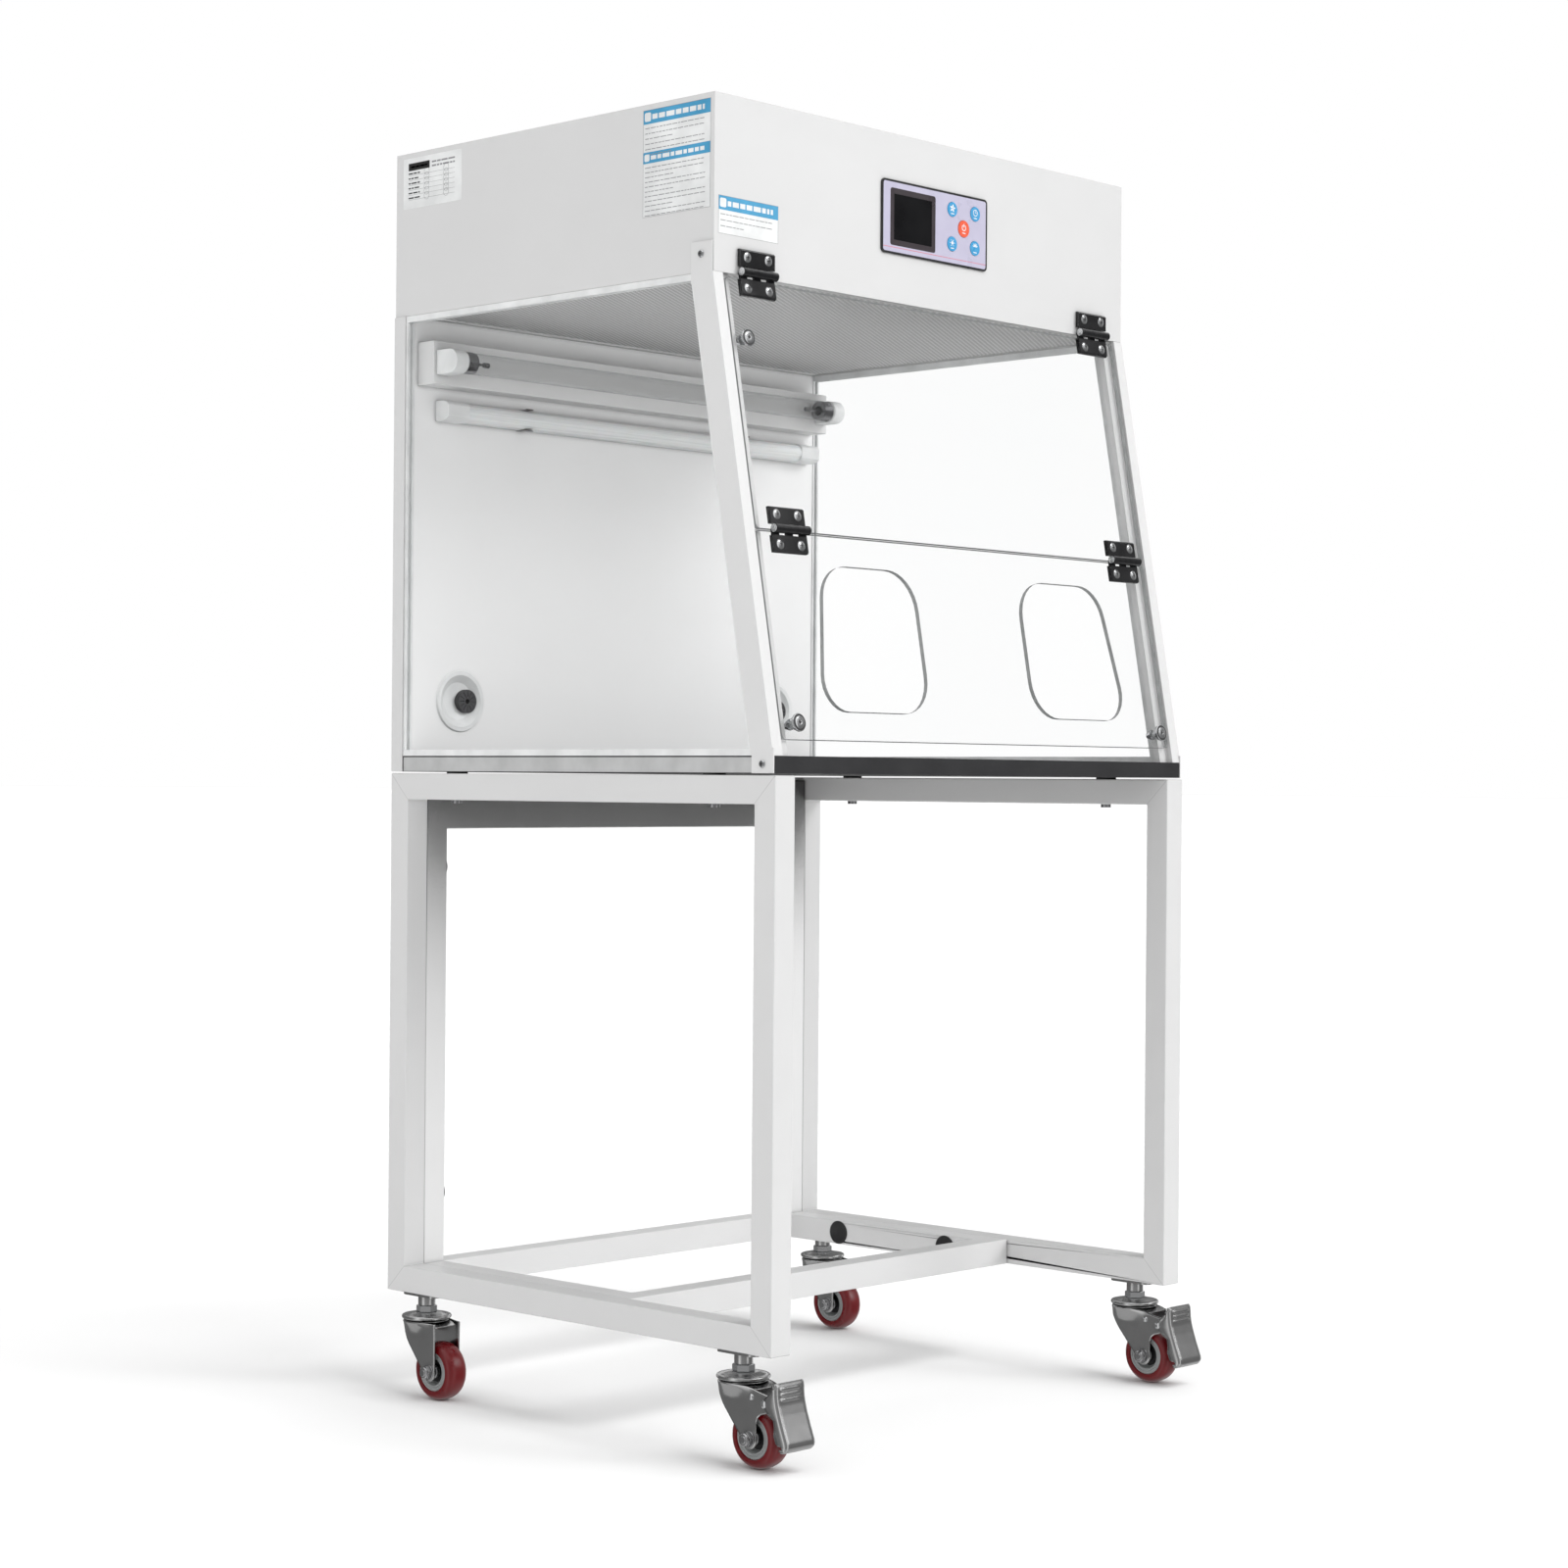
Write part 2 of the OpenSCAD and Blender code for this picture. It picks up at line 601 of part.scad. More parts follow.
module upper_sash_leaves() {
    color("dimgray") {
        at_stand() translate([0, top_axis_y, top_axis_z]) rotate([-slope, 0, 0])
            flipped() hinges([0, 2, 4], false);
        on_slope() translate([0, mid_axis_n, split_s]) hinges([1, 3], true);
    }
}
module lower_sash_leaves() {
    color("dimgray") on_slope() translate([0, mid_axis_n, split_s]) flipped() hinges([0, 2, 4], false);
}

// ---------------------------------------------------------------- filter head

ceiling_flange = 12;
intake_w = 340;
intake_d = 300;
module head_shell() {
    hole_w = panel_w - 8;
    hole_h = panel_h - 8;
    color("white") at_stand() difference() {
        box([-head_x, head_y, head_z], [head_x, stand_d, head_top]);
        box([-head_x + sheet, head_y + sheet, ceiling_z], [head_x - sheet, stand_d - sheet, head_top - 2 * sheet]);
        box([-head_x + ceiling_flange, head_y + ceiling_flange, head_z - 1],
            [head_x - ceiling_flange, wall_y - 8, ceiling_z + 1]);
        box([-head_x + ceiling_flange, head_y + ceiling_flange, head_top - 8],
            [head_x - ceiling_flange, stand_d - ceiling_flange, head_top + 1]);
        box([-head_x + sheet, head_y + sheet, head_top - sheet], [head_x - sheet, stand_d - sheet, head_top + 1]);
        translate([panel_x, head_y, panel_z]) cube([hole_w, 10, hole_h], center = true);
        both_sides() {
            translate([0, head_y + 17, head_z + 19]) along_x(2 + gap, -half_w - 1, -half_w + 8);
            for (dx = [-16, 16]) translate([hinge_x + dx, 0, top_axis_z + leaf_hole])
                along_y(2 + gap, head_y - 1, head_y + 5);
        }
        translate([inlet_x, stand_d, inlet_z]) cube([27.4, 10, 20.4], center = true);
    }
}
module head_top_cover() {
    x = head_x - sheet - gap;
    slot_pitch = 12;
    color("white") at_stand() difference() {
        box([-x, head_y + sheet + gap, head_top - sheet + eps], [x, stand_d - sheet - gap, head_top]);
        for (i = [-12:12], side = [-1, 1])
            translate([side * intake_w / 4, fan_y + i * slot_pitch, head_top])
                cube([intake_w / 2 - 14, 5, 10], center = true);
    }
}
module prefilter() {
    color("gray") at_stand()
        box([-intake_w / 2, fan_y - intake_d / 2 - 8, head_top - 24],
            [intake_w / 2, fan_y + intake_d / 2 + 8, head_top - 2 * sheet - 1]);
}
deck_z = head_z + 148;
module fan_deck() {
    x = head_x - sheet - gap;
    color("silver") at_stand() difference() {
        union() {
            box([-x, head_y + 14, deck_z], [x, stand_d - sheet - gap, deck_z + 1.5]);
            translate([0, fan_y, deck_z - 14]) cylinder(r1 = 84, r2 = 96, h = 14.5);
        }
        translate([0, fan_y, deck_z - 15]) cylinder(r1 = 81, r2 = 94, h = 18);
    }
}
module fan_motor() {
    color("dimgray") at_stand() {
        box([-x_bar, fan_y - 30, fan_z - 8], [x_bar, fan_y + 30, fan_z - 5]);
        translate([0, fan_y, fan_z - 6]) cylinder(r = 46, h = 26);
        translate([0, fan_y, fan_z + 19]) cylinder(r = shaft_r, h = 20);
        both_sides() box([-x_bar, fan_y - 30, fan_z - 8], [-x_bar + 3, fan_y + 30, deck_z - 0.3]);
    }
}
x_bar = fan_r + 40;
module fan_impeller() {
    blades = 7;
    bottom = fan_z + 22;
    blade_h = 24;
    color("gray") at_stand() translate([0, fan_y, 0]) {
        difference() {
            union() {
                translate([0, 0, bottom]) cylinder(r = fan_r, h = 2);
                translate([0, 0, bottom]) cylinder(r = 14, h = 16);
            }
            translate([0, 0, bottom - 1]) cylinder(r = shaft_r + 0.05, h = 20);
        }
        for (i = [0:blades - 1]) rotate(i * 360 / blades) translate([0, 0, bottom + 1])
            linear_extrude(blade_h) polygon(concat(
                arc([75, -45], 80, 60, 50, 8), arc([75, -45], 78, 110, -50, 8)));
        translate([0, 0, bottom + blade_h]) difference() {
            cylinder(r = fan_r, h = 2);
            translate([0, 0, -1]) cylinder(r = 88, h = 4);
        }
    }
}
module hepa_filter() {
    x = head_x - 20;
    y0 = head_y + 18;
    y1 = wall_y - 4;
    z0 = ceiling_z + 2;
    color("ivory") at_stand() {
        difference() {
            box([-x, y0, z0], [x, y1, z0 + 69]);
            box([-x + 12, y0 + 12, z0 - 1], [x - 12, y1 - 12, z0 + 70]);
        }
        box([-x + 11.9, y0 + 11.9, z0 + 8], [x - 11.9, y1 - 11.9, z0 + 61]);
    }
}
module diffuser_plate() {
    x = head_x - 5;
    color("gray") at_stand()
        box([-x, head_y + 5, ceiling_z + eps], [x, wall_y - 2, ceiling_z + 1.5]);
}

// ---------------------------------------------------------------- controls

module button_hole(x, z, r) translate([x, 0, z]) along_y(r, -5, 6);
small_buttons = [
    [button_x - button_pitch, button_z + 19.5], [button_x + button_pitch, button_z + 19.5],
    [button_x - button_pitch, button_z - 19.5], [button_x + button_pitch, button_z - 19.5]
];
module control_panel() {
    color("thistle") at_stand() translate([0, head_y, 0]) difference() {
        union() {
            translate([panel_x, -eps, panel_z]) rotate([90, 0, 0])
                linear_extrude(panel_proud) polygon(rounded_box(panel_w, panel_h, 5));
            translate([panel_x, 2.5, panel_z]) cube([panel_w - 9, 5.5, panel_h - 9], center = true);
        }
        for (b = small_buttons) button_hole(b.x, b.y, small_button_r + 0.3);
        button_hole(button_x, button_z, large_button_r + 0.3);
        box([screen_x - screen_w / 2, -5, screen_z - screen_h / 2],
            [screen_x + screen_w / 2, -0.5, screen_z + screen_h / 2]);
    }
}
module display_screen() {
    color("black") at_stand() translate([screen_x, head_y - 1.4, screen_z])
        cube([screen_w - gap, 1.2, screen_h - gap], center = true);
}
module control_board() {
    color("green") at_stand() {
        translate([panel_x, head_y + 12, panel_z]) cube([panel_w - 20, 1.6, panel_h - 16], center = true);
        for (dx = [-76, 76], dz = [-30, 30])
            translate([panel_x + dx, 0, panel_z + dz]) along_y(2.5, head_y + 5.3, head_y + 12);
    }
}
module button(x, z, r) {
    front = head_y - panel_proud - 0.7;
    at_stand() translate([x, 0, z]) {
        along_y(r, front, front + 5);
        along_y(2, front + 4, head_y + 10);
    }
}
module fan_button() color("deepskyblue") button(small_buttons[0].x, small_buttons[0].y, small_button_r);
module timer_button() color("deepskyblue") button(small_buttons[1].x, small_buttons[1].y, small_button_r);
module lamp_button() color("deepskyblue") button(small_buttons[2].x, small_buttons[2].y, small_button_r);
module uv_button() color("deepskyblue") button(small_buttons[3].x, small_buttons[3].y, small_button_r);
module power_button() color("tomato") button(button_x, button_z, large_button_r);

// Mains inlet in the back of the head: flange, body and three blades in a recess
inlet_x = 250;
inlet_z = head_z + 40;
module power_inlet() {
    color("dimgray") at_stand() translate([inlet_x, stand_d, inlet_z]) {
        difference() {
            union() {
                translate([0, inlet_proud, 0]) rotate([90, 0, 0]) linear_extrude(inlet_proud - eps)
                    polygon(rounded_box(48, 27, 4));
                translate([0, -10, 0]) cube([27, 20.5, 20], center = true);
            }
            translate([0, -5.5, 0]) cube([23, 17, 15], center = true);
        }
        for (p = [[0, 3], [-7, -2], [7, -2]])
            translate([p.x, -9, p.y]) cube([2, 12, 4], center = true);
    }
}

// ---------------------------------------------------------------- lamps

uv_half = 333;
uv_low = 1043.5;
uv_high = 1093.5;
uv_depth = 29;
lamp_r = 12.5;
lamp_y = wall_y - 51;
lamp_z = (uv_low + uv_high) / 2;
module uv_fixture() {
    y = wall_y - uv_depth;
    color("white") at_stand() difference() {
        box([-uv_half, y, uv_low], [uv_half, wall_y - eps, uv_high]);
        box([-uv_half + 1.2, y + 1.2, uv_low + 1.2], [uv_half - 1.2, wall_y + 1, uv_high - 1.2]);
    }
}
module uv_sockets() {
    color("whitesmoke") at_stand() both_sides() difference() {
        box([-uv_half + 4, lamp_y - 3, lamp_z - 14], [-uv_half + 22, wall_y - uv_depth - eps, lamp_z + 14]);
        translate([0, lamp_y, lamp_z]) along_x(1.6, -uv_half + 12, -uv_half + 23);
    }
}
module uv_lamp() {
    end = uv_half - 22.2;
    color("lightcyan") at_stand() translate([0, lamp_y, lamp_z]) {
        along_x(lamp_r, -end, end);
        both_sides() along_x(1.4, -end - 7, -end + 1);
    }
}
module led_batten() {
    x0 = -305.5;
    x1 = 326;
    low = 1005;
    h = 23;
    depth = 24;
    color("white") at_stand() translate([x0, wall_y - eps, low]) rotate([90, 0, 90])
        linear_extrude(x1 - x0) polygon(concat(
            [[0, 0], [0, h], [-8, h], [-9.5, h - 1.5]],
            arc([-12, h / 2], 11, 80, 200, 10),
            [[-9.5, 1.5], [-8, 0]]));
}

left_side_frame();
right_side_frame();
rear_inner_frame();
base_inner_frame();
frame_bolts();
frame_plugs();
caster_mounts();
hood_pads();
hood_bolts();
worktop();
worktop_edge_rails();
back_liner();
rear_panel();
left_front_post();
right_front_post();
left_window();
right_window();
left_window_trim();
right_window_trim();
casing_screws();
head_shell();
head_top_cover();
prefilter();
fan_deck();
fan_motor();
fan_impeller();
hepa_filter();
diffuser_plate();
control_panel();
display_screen();
control_board();
fan_button();
timer_button();
power_button();
lamp_button();
uv_button();
uv_fixture();
uv_sockets();
uv_lamp();
led_batten();
cable_ports();
port_grommets();
power_inlet();
head_hinge_leaves();
upper_sash();
upper_sash_leaves();
upper_sash_catch();
lower_sash();
lower_sash_leaves();
lower_sash_knobs();
front_left_fork();
front_right_fork();
rear_left_fork();
rear_right_fork();
front_left_wheel();
front_right_wheel();
rear_left_wheel();
rear_right_wheel();
front_left_pedal();
front_right_pedal();
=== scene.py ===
"""Look of the fume hood: materials for every CAD node, small fittings and labels, light, floor and camera."""
import json
import math
import random

import bmesh
import bpy
from mathutils import Matrix, Vector

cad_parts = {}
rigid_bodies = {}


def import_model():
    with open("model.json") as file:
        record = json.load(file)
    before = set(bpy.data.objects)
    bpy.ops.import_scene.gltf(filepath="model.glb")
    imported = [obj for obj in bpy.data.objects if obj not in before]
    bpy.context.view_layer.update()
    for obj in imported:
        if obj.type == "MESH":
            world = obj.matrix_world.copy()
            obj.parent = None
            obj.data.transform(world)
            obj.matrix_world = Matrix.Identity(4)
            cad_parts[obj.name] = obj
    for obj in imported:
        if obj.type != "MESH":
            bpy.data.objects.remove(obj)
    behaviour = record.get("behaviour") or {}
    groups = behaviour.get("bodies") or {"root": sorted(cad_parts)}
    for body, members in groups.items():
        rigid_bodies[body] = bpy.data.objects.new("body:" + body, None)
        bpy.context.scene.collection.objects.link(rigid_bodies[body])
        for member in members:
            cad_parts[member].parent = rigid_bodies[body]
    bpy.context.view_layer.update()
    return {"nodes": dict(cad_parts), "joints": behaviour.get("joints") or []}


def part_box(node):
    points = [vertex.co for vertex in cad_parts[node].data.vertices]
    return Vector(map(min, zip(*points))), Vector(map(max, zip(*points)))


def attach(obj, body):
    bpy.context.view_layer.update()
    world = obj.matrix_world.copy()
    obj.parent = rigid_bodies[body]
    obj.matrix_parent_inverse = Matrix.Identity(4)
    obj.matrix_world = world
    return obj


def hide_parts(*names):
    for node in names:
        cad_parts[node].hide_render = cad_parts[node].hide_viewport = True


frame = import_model()
NODES = frame["nodes"]
ROOT = "stand_and_cabinet"
CORNERS = ("front_left", "front_right", "rear_left", "rear_right")
FRONT_CORNERS = CORNERS[:2]
MM = 0.001
JOINTS = {joint["name"]: joint for joint in frame["joints"]}
UPPER_PIN = Vector(JOINTS["upper_sash_hinge"]["pos_m"])
LOWER_PIN = Vector(JOINTS["lower_sash_hinge"]["pos_m"])


# ---- material helpers

class Graph:
    """A material's node tree, with short calls for the nodes that the recipes below use."""

    def __init__(self, name):
        self.material = bpy.data.materials.new(name)
        self.material.use_nodes = True
        self.tree = self.material.node_tree
        self.shader = self.tree.nodes["Principled BSDF"]
        self.output = self.tree.nodes["Material Output"]
        self.position = self.add("ShaderNodeTexCoord").outputs["Object"]

    def add(self, kind, **settings):
        node = self.tree.nodes.new(kind)
        for key, value in settings.items():
            setattr(node, key, value)
        return node

    def link(self, source, socket):
        self.tree.links.new(source, socket)

    def feed(self, socket, value):
        if isinstance(value, bpy.types.NodeSocket):
            self.link(value, socket)
        else:
            socket.default_value = value

    def math(self, operation, *values):
        node = self.add("ShaderNodeMath", operation=operation)
        for socket, value in zip(node.inputs, values):
            self.feed(socket, value)
        return node.outputs[0]

    def plus(self, first, second):
        return self.math("ADD", first, second)

    def minus(self, first, second):
        return self.math("SUBTRACT", first, second)

    def times(self, first, second):
        return self.math("MULTIPLY", first, second)

    def absolute(self, value):
        return self.math("ABSOLUTE", value)

    def below(self, value, limit):
        """1 where value is under limit and 0 elsewhere."""
        return self.math("LESS_THAN", value, limit)

    def vector(self, operation, *values):
        node = self.add("ShaderNodeVectorMath", operation=operation)
        for socket, value in zip(node.inputs, values):
            self.feed(socket, value)
        return node.outputs["Vector"]

    def dot(self, vector, direction):
        node = self.add("ShaderNodeVectorMath", operation="DOT_PRODUCT")
        self.link(vector, node.inputs[0])
        node.inputs[1].default_value = direction
        return node.outputs["Value"]

    def axes(self):
        node = self.add("ShaderNodeSeparateXYZ")
        self.link(self.position, node.inputs[0])
        return node.outputs

    def noise(self, scale, detail=3, roughness=0.5, stretch=None):
        node = self.add("ShaderNodeTexNoise")
        node.inputs["Scale"].default_value = scale
        node.inputs["Detail"].default_value = detail
        node.inputs["Roughness"].default_value = roughness
        source = self.vector("MULTIPLY", self.position, stretch) if stretch else self.position
        self.link(source, node.inputs["Vector"])
        return node.outputs["Fac"]

    def remap(self, value, low, high, to_low=0, to_high=1):
        node = self.add("ShaderNodeMapRange")
        for key, number in (("From Min", low), ("From Max", high), ("To Min", to_low), ("To Max", to_high)):
            node.inputs[key].default_value = number
        self.link(value, node.inputs["Value"])
        return node.outputs["Result"]

    def mix(self, factor, first, second):
        node = self.add("ShaderNodeMix", data_type="RGBA")
        self.feed(node.inputs["Factor"], factor)
        self.feed(node.inputs["A"], first if isinstance(first, bpy.types.NodeSocket) else (*first, 1))
        self.feed(node.inputs["B"], second if isinstance(second, bpy.types.NodeSocket) else (*second, 1))
        return node.outputs["Result"]

    def bump(self, height, strength, distance):
        node = self.add("ShaderNodeBump")
        node.inputs["Strength"].default_value = strength
        node.inputs["Distance"].default_value = distance
        self.link(height, node.inputs["Height"])
        return node.outputs["Normal"]

    def slant(self, power):
        """0 where glass faces the eye, rising to 1 at a grazing angle."""
        node = self.add("ShaderNodeLayerWeight")
        node.inputs["Blend"].default_value = 0.5
        return self.math("POWER", node.outputs["Facing"], power)

    def clear(self, cloud, first, second):
        """A see-through shader whose tint wanders between two colours."""
        node = self.add("ShaderNodeBsdfTransparent")
        self.feed(node.inputs["Color"], self.mix(cloud, first, second))
        return node.outputs[0]

    def blend(self, factor, first, second):
        """Mixes two shaders."""
        node = self.add("ShaderNodeMixShader")
        for socket, value in zip(node.inputs, (factor, first, second)):
            self.link(value, socket)
        return node.outputs[0]

    def set(self, **sockets):
        """Sets Principled sockets by name, with underscores for spaces: a number, a colour or another node's output."""
        for key, value in sockets.items():
            socket = self.shader.inputs[key.replace("_", " ")]
            if isinstance(value, tuple) and len(value) == 3 and socket.type == "RGBA":
                value = (*value, 1)
            self.feed(socket, value)
        return self.material


def grey(level):
    return (level, level, level)


def shade(colour, factor):
    return tuple(min(1, c * factor) for c in colour)


def worn_edges(graph):
    """1 on sharp edges and 0 elsewhere, from the mesh's own pointiness."""
    geometry = graph.add("ShaderNodeNewGeometry")
    return graph.remap(geometry.outputs["Pointiness"], 0.52, 0.62)


def occlusion_shade(graph, reach):
    """1 in the open and towards 0 in a corner or gap, looking as far as reach. The materials below darken colour by it
    as painted shade.
    """
    node = graph.add("ShaderNodeAmbientOcclusion", samples=3)
    node.inputs["Distance"].default_value = reach
    return node.outputs["AO"]


TUBE = 30 * MM
SEAM_SHADE_REACH = 5 * MM
JOINT_LINE = 0.35 * MM
CABINET_SHADE = 0.35
CABINET_SHADE_FROM, CABINET_SHADE_TO = 0.45, 0.62


def powder_coat(name, colour, grain=900, roughness=0.36, depth=0, seam_shade=0.45, mitred=None):
    """Sprayed and baked paint: a fine orange-peel surface, faint cloudiness, thin edges and painted shade in seams.
    depth is how much painted shade the coat gets under the cabinet, and the seam setting how much painted shade it gets
    where parts meet.
    mitred names a rectangular tube frame whose corner joints show as fine lines."""
    g = Graph(name)
    cloud = g.noise(3.5, 4)
    speck = g.noise(grain, 2)
    base = g.mix(g.remap(cloud, 0.3, 0.7), shade(colour, 0.975), colour)
    base = g.mix(g.times(worn_edges(g), 0.12), base, shade(colour, 0.8))
    # painted shade: darker where parts meet, within a few millimetres
    base = g.mix(g.remap(occlusion_shade(g, SEAM_SHADE_REACH), 0.35, 0.85, seam_shade, 0), base, shade(colour, 0.3))
    if mitred:
        low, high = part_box(mitred)
        _, y, z = g.axes()
        in_y = g.math("MINIMUM", g.minus(y, low[1]), g.minus(high[1], y))
        in_z = g.math("MINIMUM", g.minus(z, low[2]), g.minus(high[2], z))
        on_joint = g.below(g.absolute(g.minus(in_y, in_z)), JOINT_LINE)
        at_corner = g.below(in_y, TUBE)
        base = g.mix(g.times(g.times(on_joint, at_corner), 0.6), base, shade(colour, 0.45))
    # painted shade under the cabinet: darker in corners high on the stand, where the cabinet shades it
    if depth:
        under = g.remap(g.axes()[2], CABINET_SHADE_FROM, CABINET_SHADE_TO)
        deep_shade = g.remap(occlusion_shade(g, CABINET_SHADE), 0.6, 1, depth, 0)
        base = g.mix(g.times(under, deep_shade), base, shade(colour, 0.04))
    rough = g.remap(g.noise(14, 5), 0.3, 0.7, roughness - 0.05, roughness + 0.07)
    return g.set(Base_Color=base, Roughness=rough, IOR=1.5, Normal=g.bump(speck, 0.12, 0.0004))


def plated(name, colour, roughness=0.3, streaks=(1, 1, 1), mottled=0.16):
    """Zinc or nickel plating: metal with cloudy patches, fine scratches and painted shade in its hollows."""
    g = Graph(name)
    patch = g.noise(70, 4, 0.5)
    scratch = g.noise(900, 4, 0.7, stretch=streaks)
    base = g.mix(g.remap(patch, 0.35, 0.65), shade(colour, 1 - mottled), shade(colour, 1 + mottled / 3))
    # painted shade: the colour darkens in hollows up to 8 mm deep
    base = g.mix(g.remap(occlusion_shade(g, 0.008), 0.3, 0.9, 0.5, 0), base, shade(colour, 0.25))
    rough = g.remap(g.plus(patch, scratch), 0.7, 1.3, roughness - 0.2 * mottled, roughness + 0.3 * mottled)
    return g.set(Base_Color=base, Metallic=1, Roughness=rough, Normal=g.bump(scratch, 0.03, 0.0002))


def polished_chrome():
    g = Graph("polished_chrome")
    colour = (0.7, 0.71, 0.72)
    smear = g.noise(55, 5, 0.6)
    return g.set(Base_Color=g.mix(smear, shade(colour, 0.93), colour), Metallic=1,
                 Roughness=g.remap(smear, 0.3, 0.7, 0.12, 0.2), Normal=g.bump(g.noise(400, 2), 0.02, 0.0002))


def moulded(name, colour, roughness=0.45, grain=1400, bump=0.1, coat=0):
    """Moulded plastic or rubber: fine spark-eroded grain, faint flow marks and handling gloss."""
    g = Graph(name)
    flow = g.noise(26, 4, 0.55)
    fine = g.noise(grain, 2)
    base = g.mix(g.remap(flow, 0.35, 0.65), shade(colour, 0.9), shade(colour, 1.06))
    rough = g.remap(flow, 0.3, 0.7, roughness - 0.06, roughness + 0.08)
    return g.set(Base_Color=base, Roughness=rough, Coat_Weight=coat, Normal=g.bump(fine, bump, 0.0003))


def clear_sheet(name, across, edge):
    """Clear cast acrylic: see-through faces that mirror at a slant, and grey polished cut edges.
    across is the direction through the sheet."""
    g = Graph(name)
    mirror, straight_on = 0.16, 0.04
    facing = g.absolute(g.dot(g.add("ShaderNodeTexCoord").outputs["Normal"], across))
    gloss = g.add("ShaderNodeBsdfGlossy")
    gloss.inputs["Color"].default_value = (0.95, 0.95, 0.95, 1)
    g.link(g.remap(g.noise(9, 5, 0.6), 0.45, 0.8, 0.02, 0.09), gloss.inputs["Roughness"])
    see = g.clear(g.noise(5), (0.999, 0.9995, 0.9995), (0.995, 0.997, 0.997))
    face = g.blend(g.times(g.plus(g.slant(5), straight_on), mirror), see, gloss.outputs[0])
    streak = g.noise(60, stretch=(1, 0.1, 1))
    g.set(Base_Color=g.mix(streak, shade(edge, 0.8), shade(edge, 1.2)), Roughness=0.2)
    g.link(g.blend(g.below(facing, 0.7), face, g.shader.outputs[0]), g.output.inputs["Surface"])
    return g.material


# ---- materials of the CAD nodes

CASING = grey(0.665)
LEAN = math.atan2(UPPER_PIN.y - LOWER_PIN.y, UPPER_PIN.z - LOWER_PIN.z)
SIDE_CLEAR = clear_sheet("clear_side_acrylic", (1, 0, 0), (0.82, 0.83, 0.83))
SASH_CLEAR = clear_sheet("clear_sash_acrylic", (0, math.cos(LEAN), -math.sin(LEAN)), (0.36, 0.37, 0.37))
PAINT = powder_coat("casing_paint", CASING)
POST_PAINT = powder_coat("post_paint", shade(CASING, 1.04), seam_shade=0.2)
# painted light: the liner has the casing's white made brighter, for the light in the chamber
LIT_LINER_PAINT = powder_coat("liner_paint", grey(0.865), seam_shade=0.6)
FIXTURE_PAINT = powder_coat("fixture_paint", grey(0.7), seam_shade=0.6)
FRAME_PAINT = powder_coat("frame_paint", grey(0.655), 700, 0.4, mitred="left_side_frame")
BASE_PAINT = powder_coat("base_frame_paint", grey(0.69), 700, 0.4)
# depth=1 gives the rear frame painted shade under the cabinet
REAR_PAINT = powder_coat("rear_frame_paint", grey(0.76), 700, 0.4, depth=1)
ZINC = plated("zinc_plate", grey(0.56), 0.2, mottled=0.03)
BOLT_STEEL = plated("bolt_steel", (0.5, 0.5, 0.51), 0.2)
CHROME = polished_chrome()
BLACK = moulded("black_moulding", (0.016, 0.016, 0.017), 0.42)
RUBBER = moulded("black_rubber", grey(0.02), 0.7, 700, 0.25)
WHITE_MOULDING = moulded("white_moulding", (0.74, 0.75, 0.75), 0.38)
HINGE = moulded("hinge_enamel", (0.006, 0.006, 0.007), 0.2, 900, 0.03, coat=0.3)
GREY_TRIM = moulded("grey_edge_trim", (0.47, 0.475, 0.475), 0.4, 900, 0.05)
GALVANISED = plated("galvanised_sheet", (0.56, 0.58, 0.59), 0.42, mottled=0.3)


def worktop_coating():
    """Dark moulded laminate: near-black with a fine fleck and a satin face."""
    g = Graph("worktop_coating")
    fleck = g.remap(g.noise(1600, 1), 0.68, 0.74)
    cloud = g.noise(18, 4)
    base = g.mix(cloud, (0.016, 0.016, 0.018), (0.024, 0.024, 0.026))
    base = g.mix(g.times(fleck, 0.5), base, (0.16, 0.16, 0.165))
    return g.set(Base_Color=base, Roughness=g.remap(cloud, 0.3, 0.7, 0.34, 0.48),
                 Normal=g.bump(g.noise(1100, 2), 0.14, 0.0004))


def perforated_sheet():
    """Satin sheet with a staggered grid of round holes, their insides painted dark grey as shade, and a plain border.
    The rows run along Y.
    """
    g = Graph("perforated_sheet")
    pitch, hole, border = 6.4 * MM, 2 * MM, 8 * MM
    row_share = 0.866
    rows_left_of_middle = 400
    x, y, _ = g.axes()
    row = g.math("DIVIDE", x, pitch * row_share)
    shift = g.times(g.math("MODULO", g.math("FLOOR", g.plus(row, rows_left_of_middle)), 2), 0.5)
    u = g.minus(g.math("FRACT", g.plus(g.math("DIVIDE", y, pitch), shift)), 0.5)
    v = g.times(g.minus(g.math("FRACT", row), 0.5), row_share)
    distance = g.math("SQRT", g.plus(g.times(u, u), g.times(v, v)))
    solid = g.remap(distance, hole / pitch - 0.04, hole / pitch + 0.04)
    low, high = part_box("diffuser_plate")
    inside_x = g.below(g.absolute(x), high[0] - border)
    inside_y = g.below(g.absolute(g.minus(y, (low[1] + high[1]) / 2)),
                      (high[1] - low[1]) / 2 - border)
    plain = g.minus(1, g.times(inside_x, inside_y))
    solid = g.math("MAXIMUM", solid, plain)
    sheet = g.mix(g.noise(60, 5), grey(0.57), grey(0.61))
    # the holes are filled with dark grey as painted shade
    return g.set(Base_Color=g.mix(solid, grey(0.3), sheet),
                 Roughness=g.remap(solid, 0, 1, 0.9, 0.42), Normal=g.bump(solid, 0.5, 0.0006))


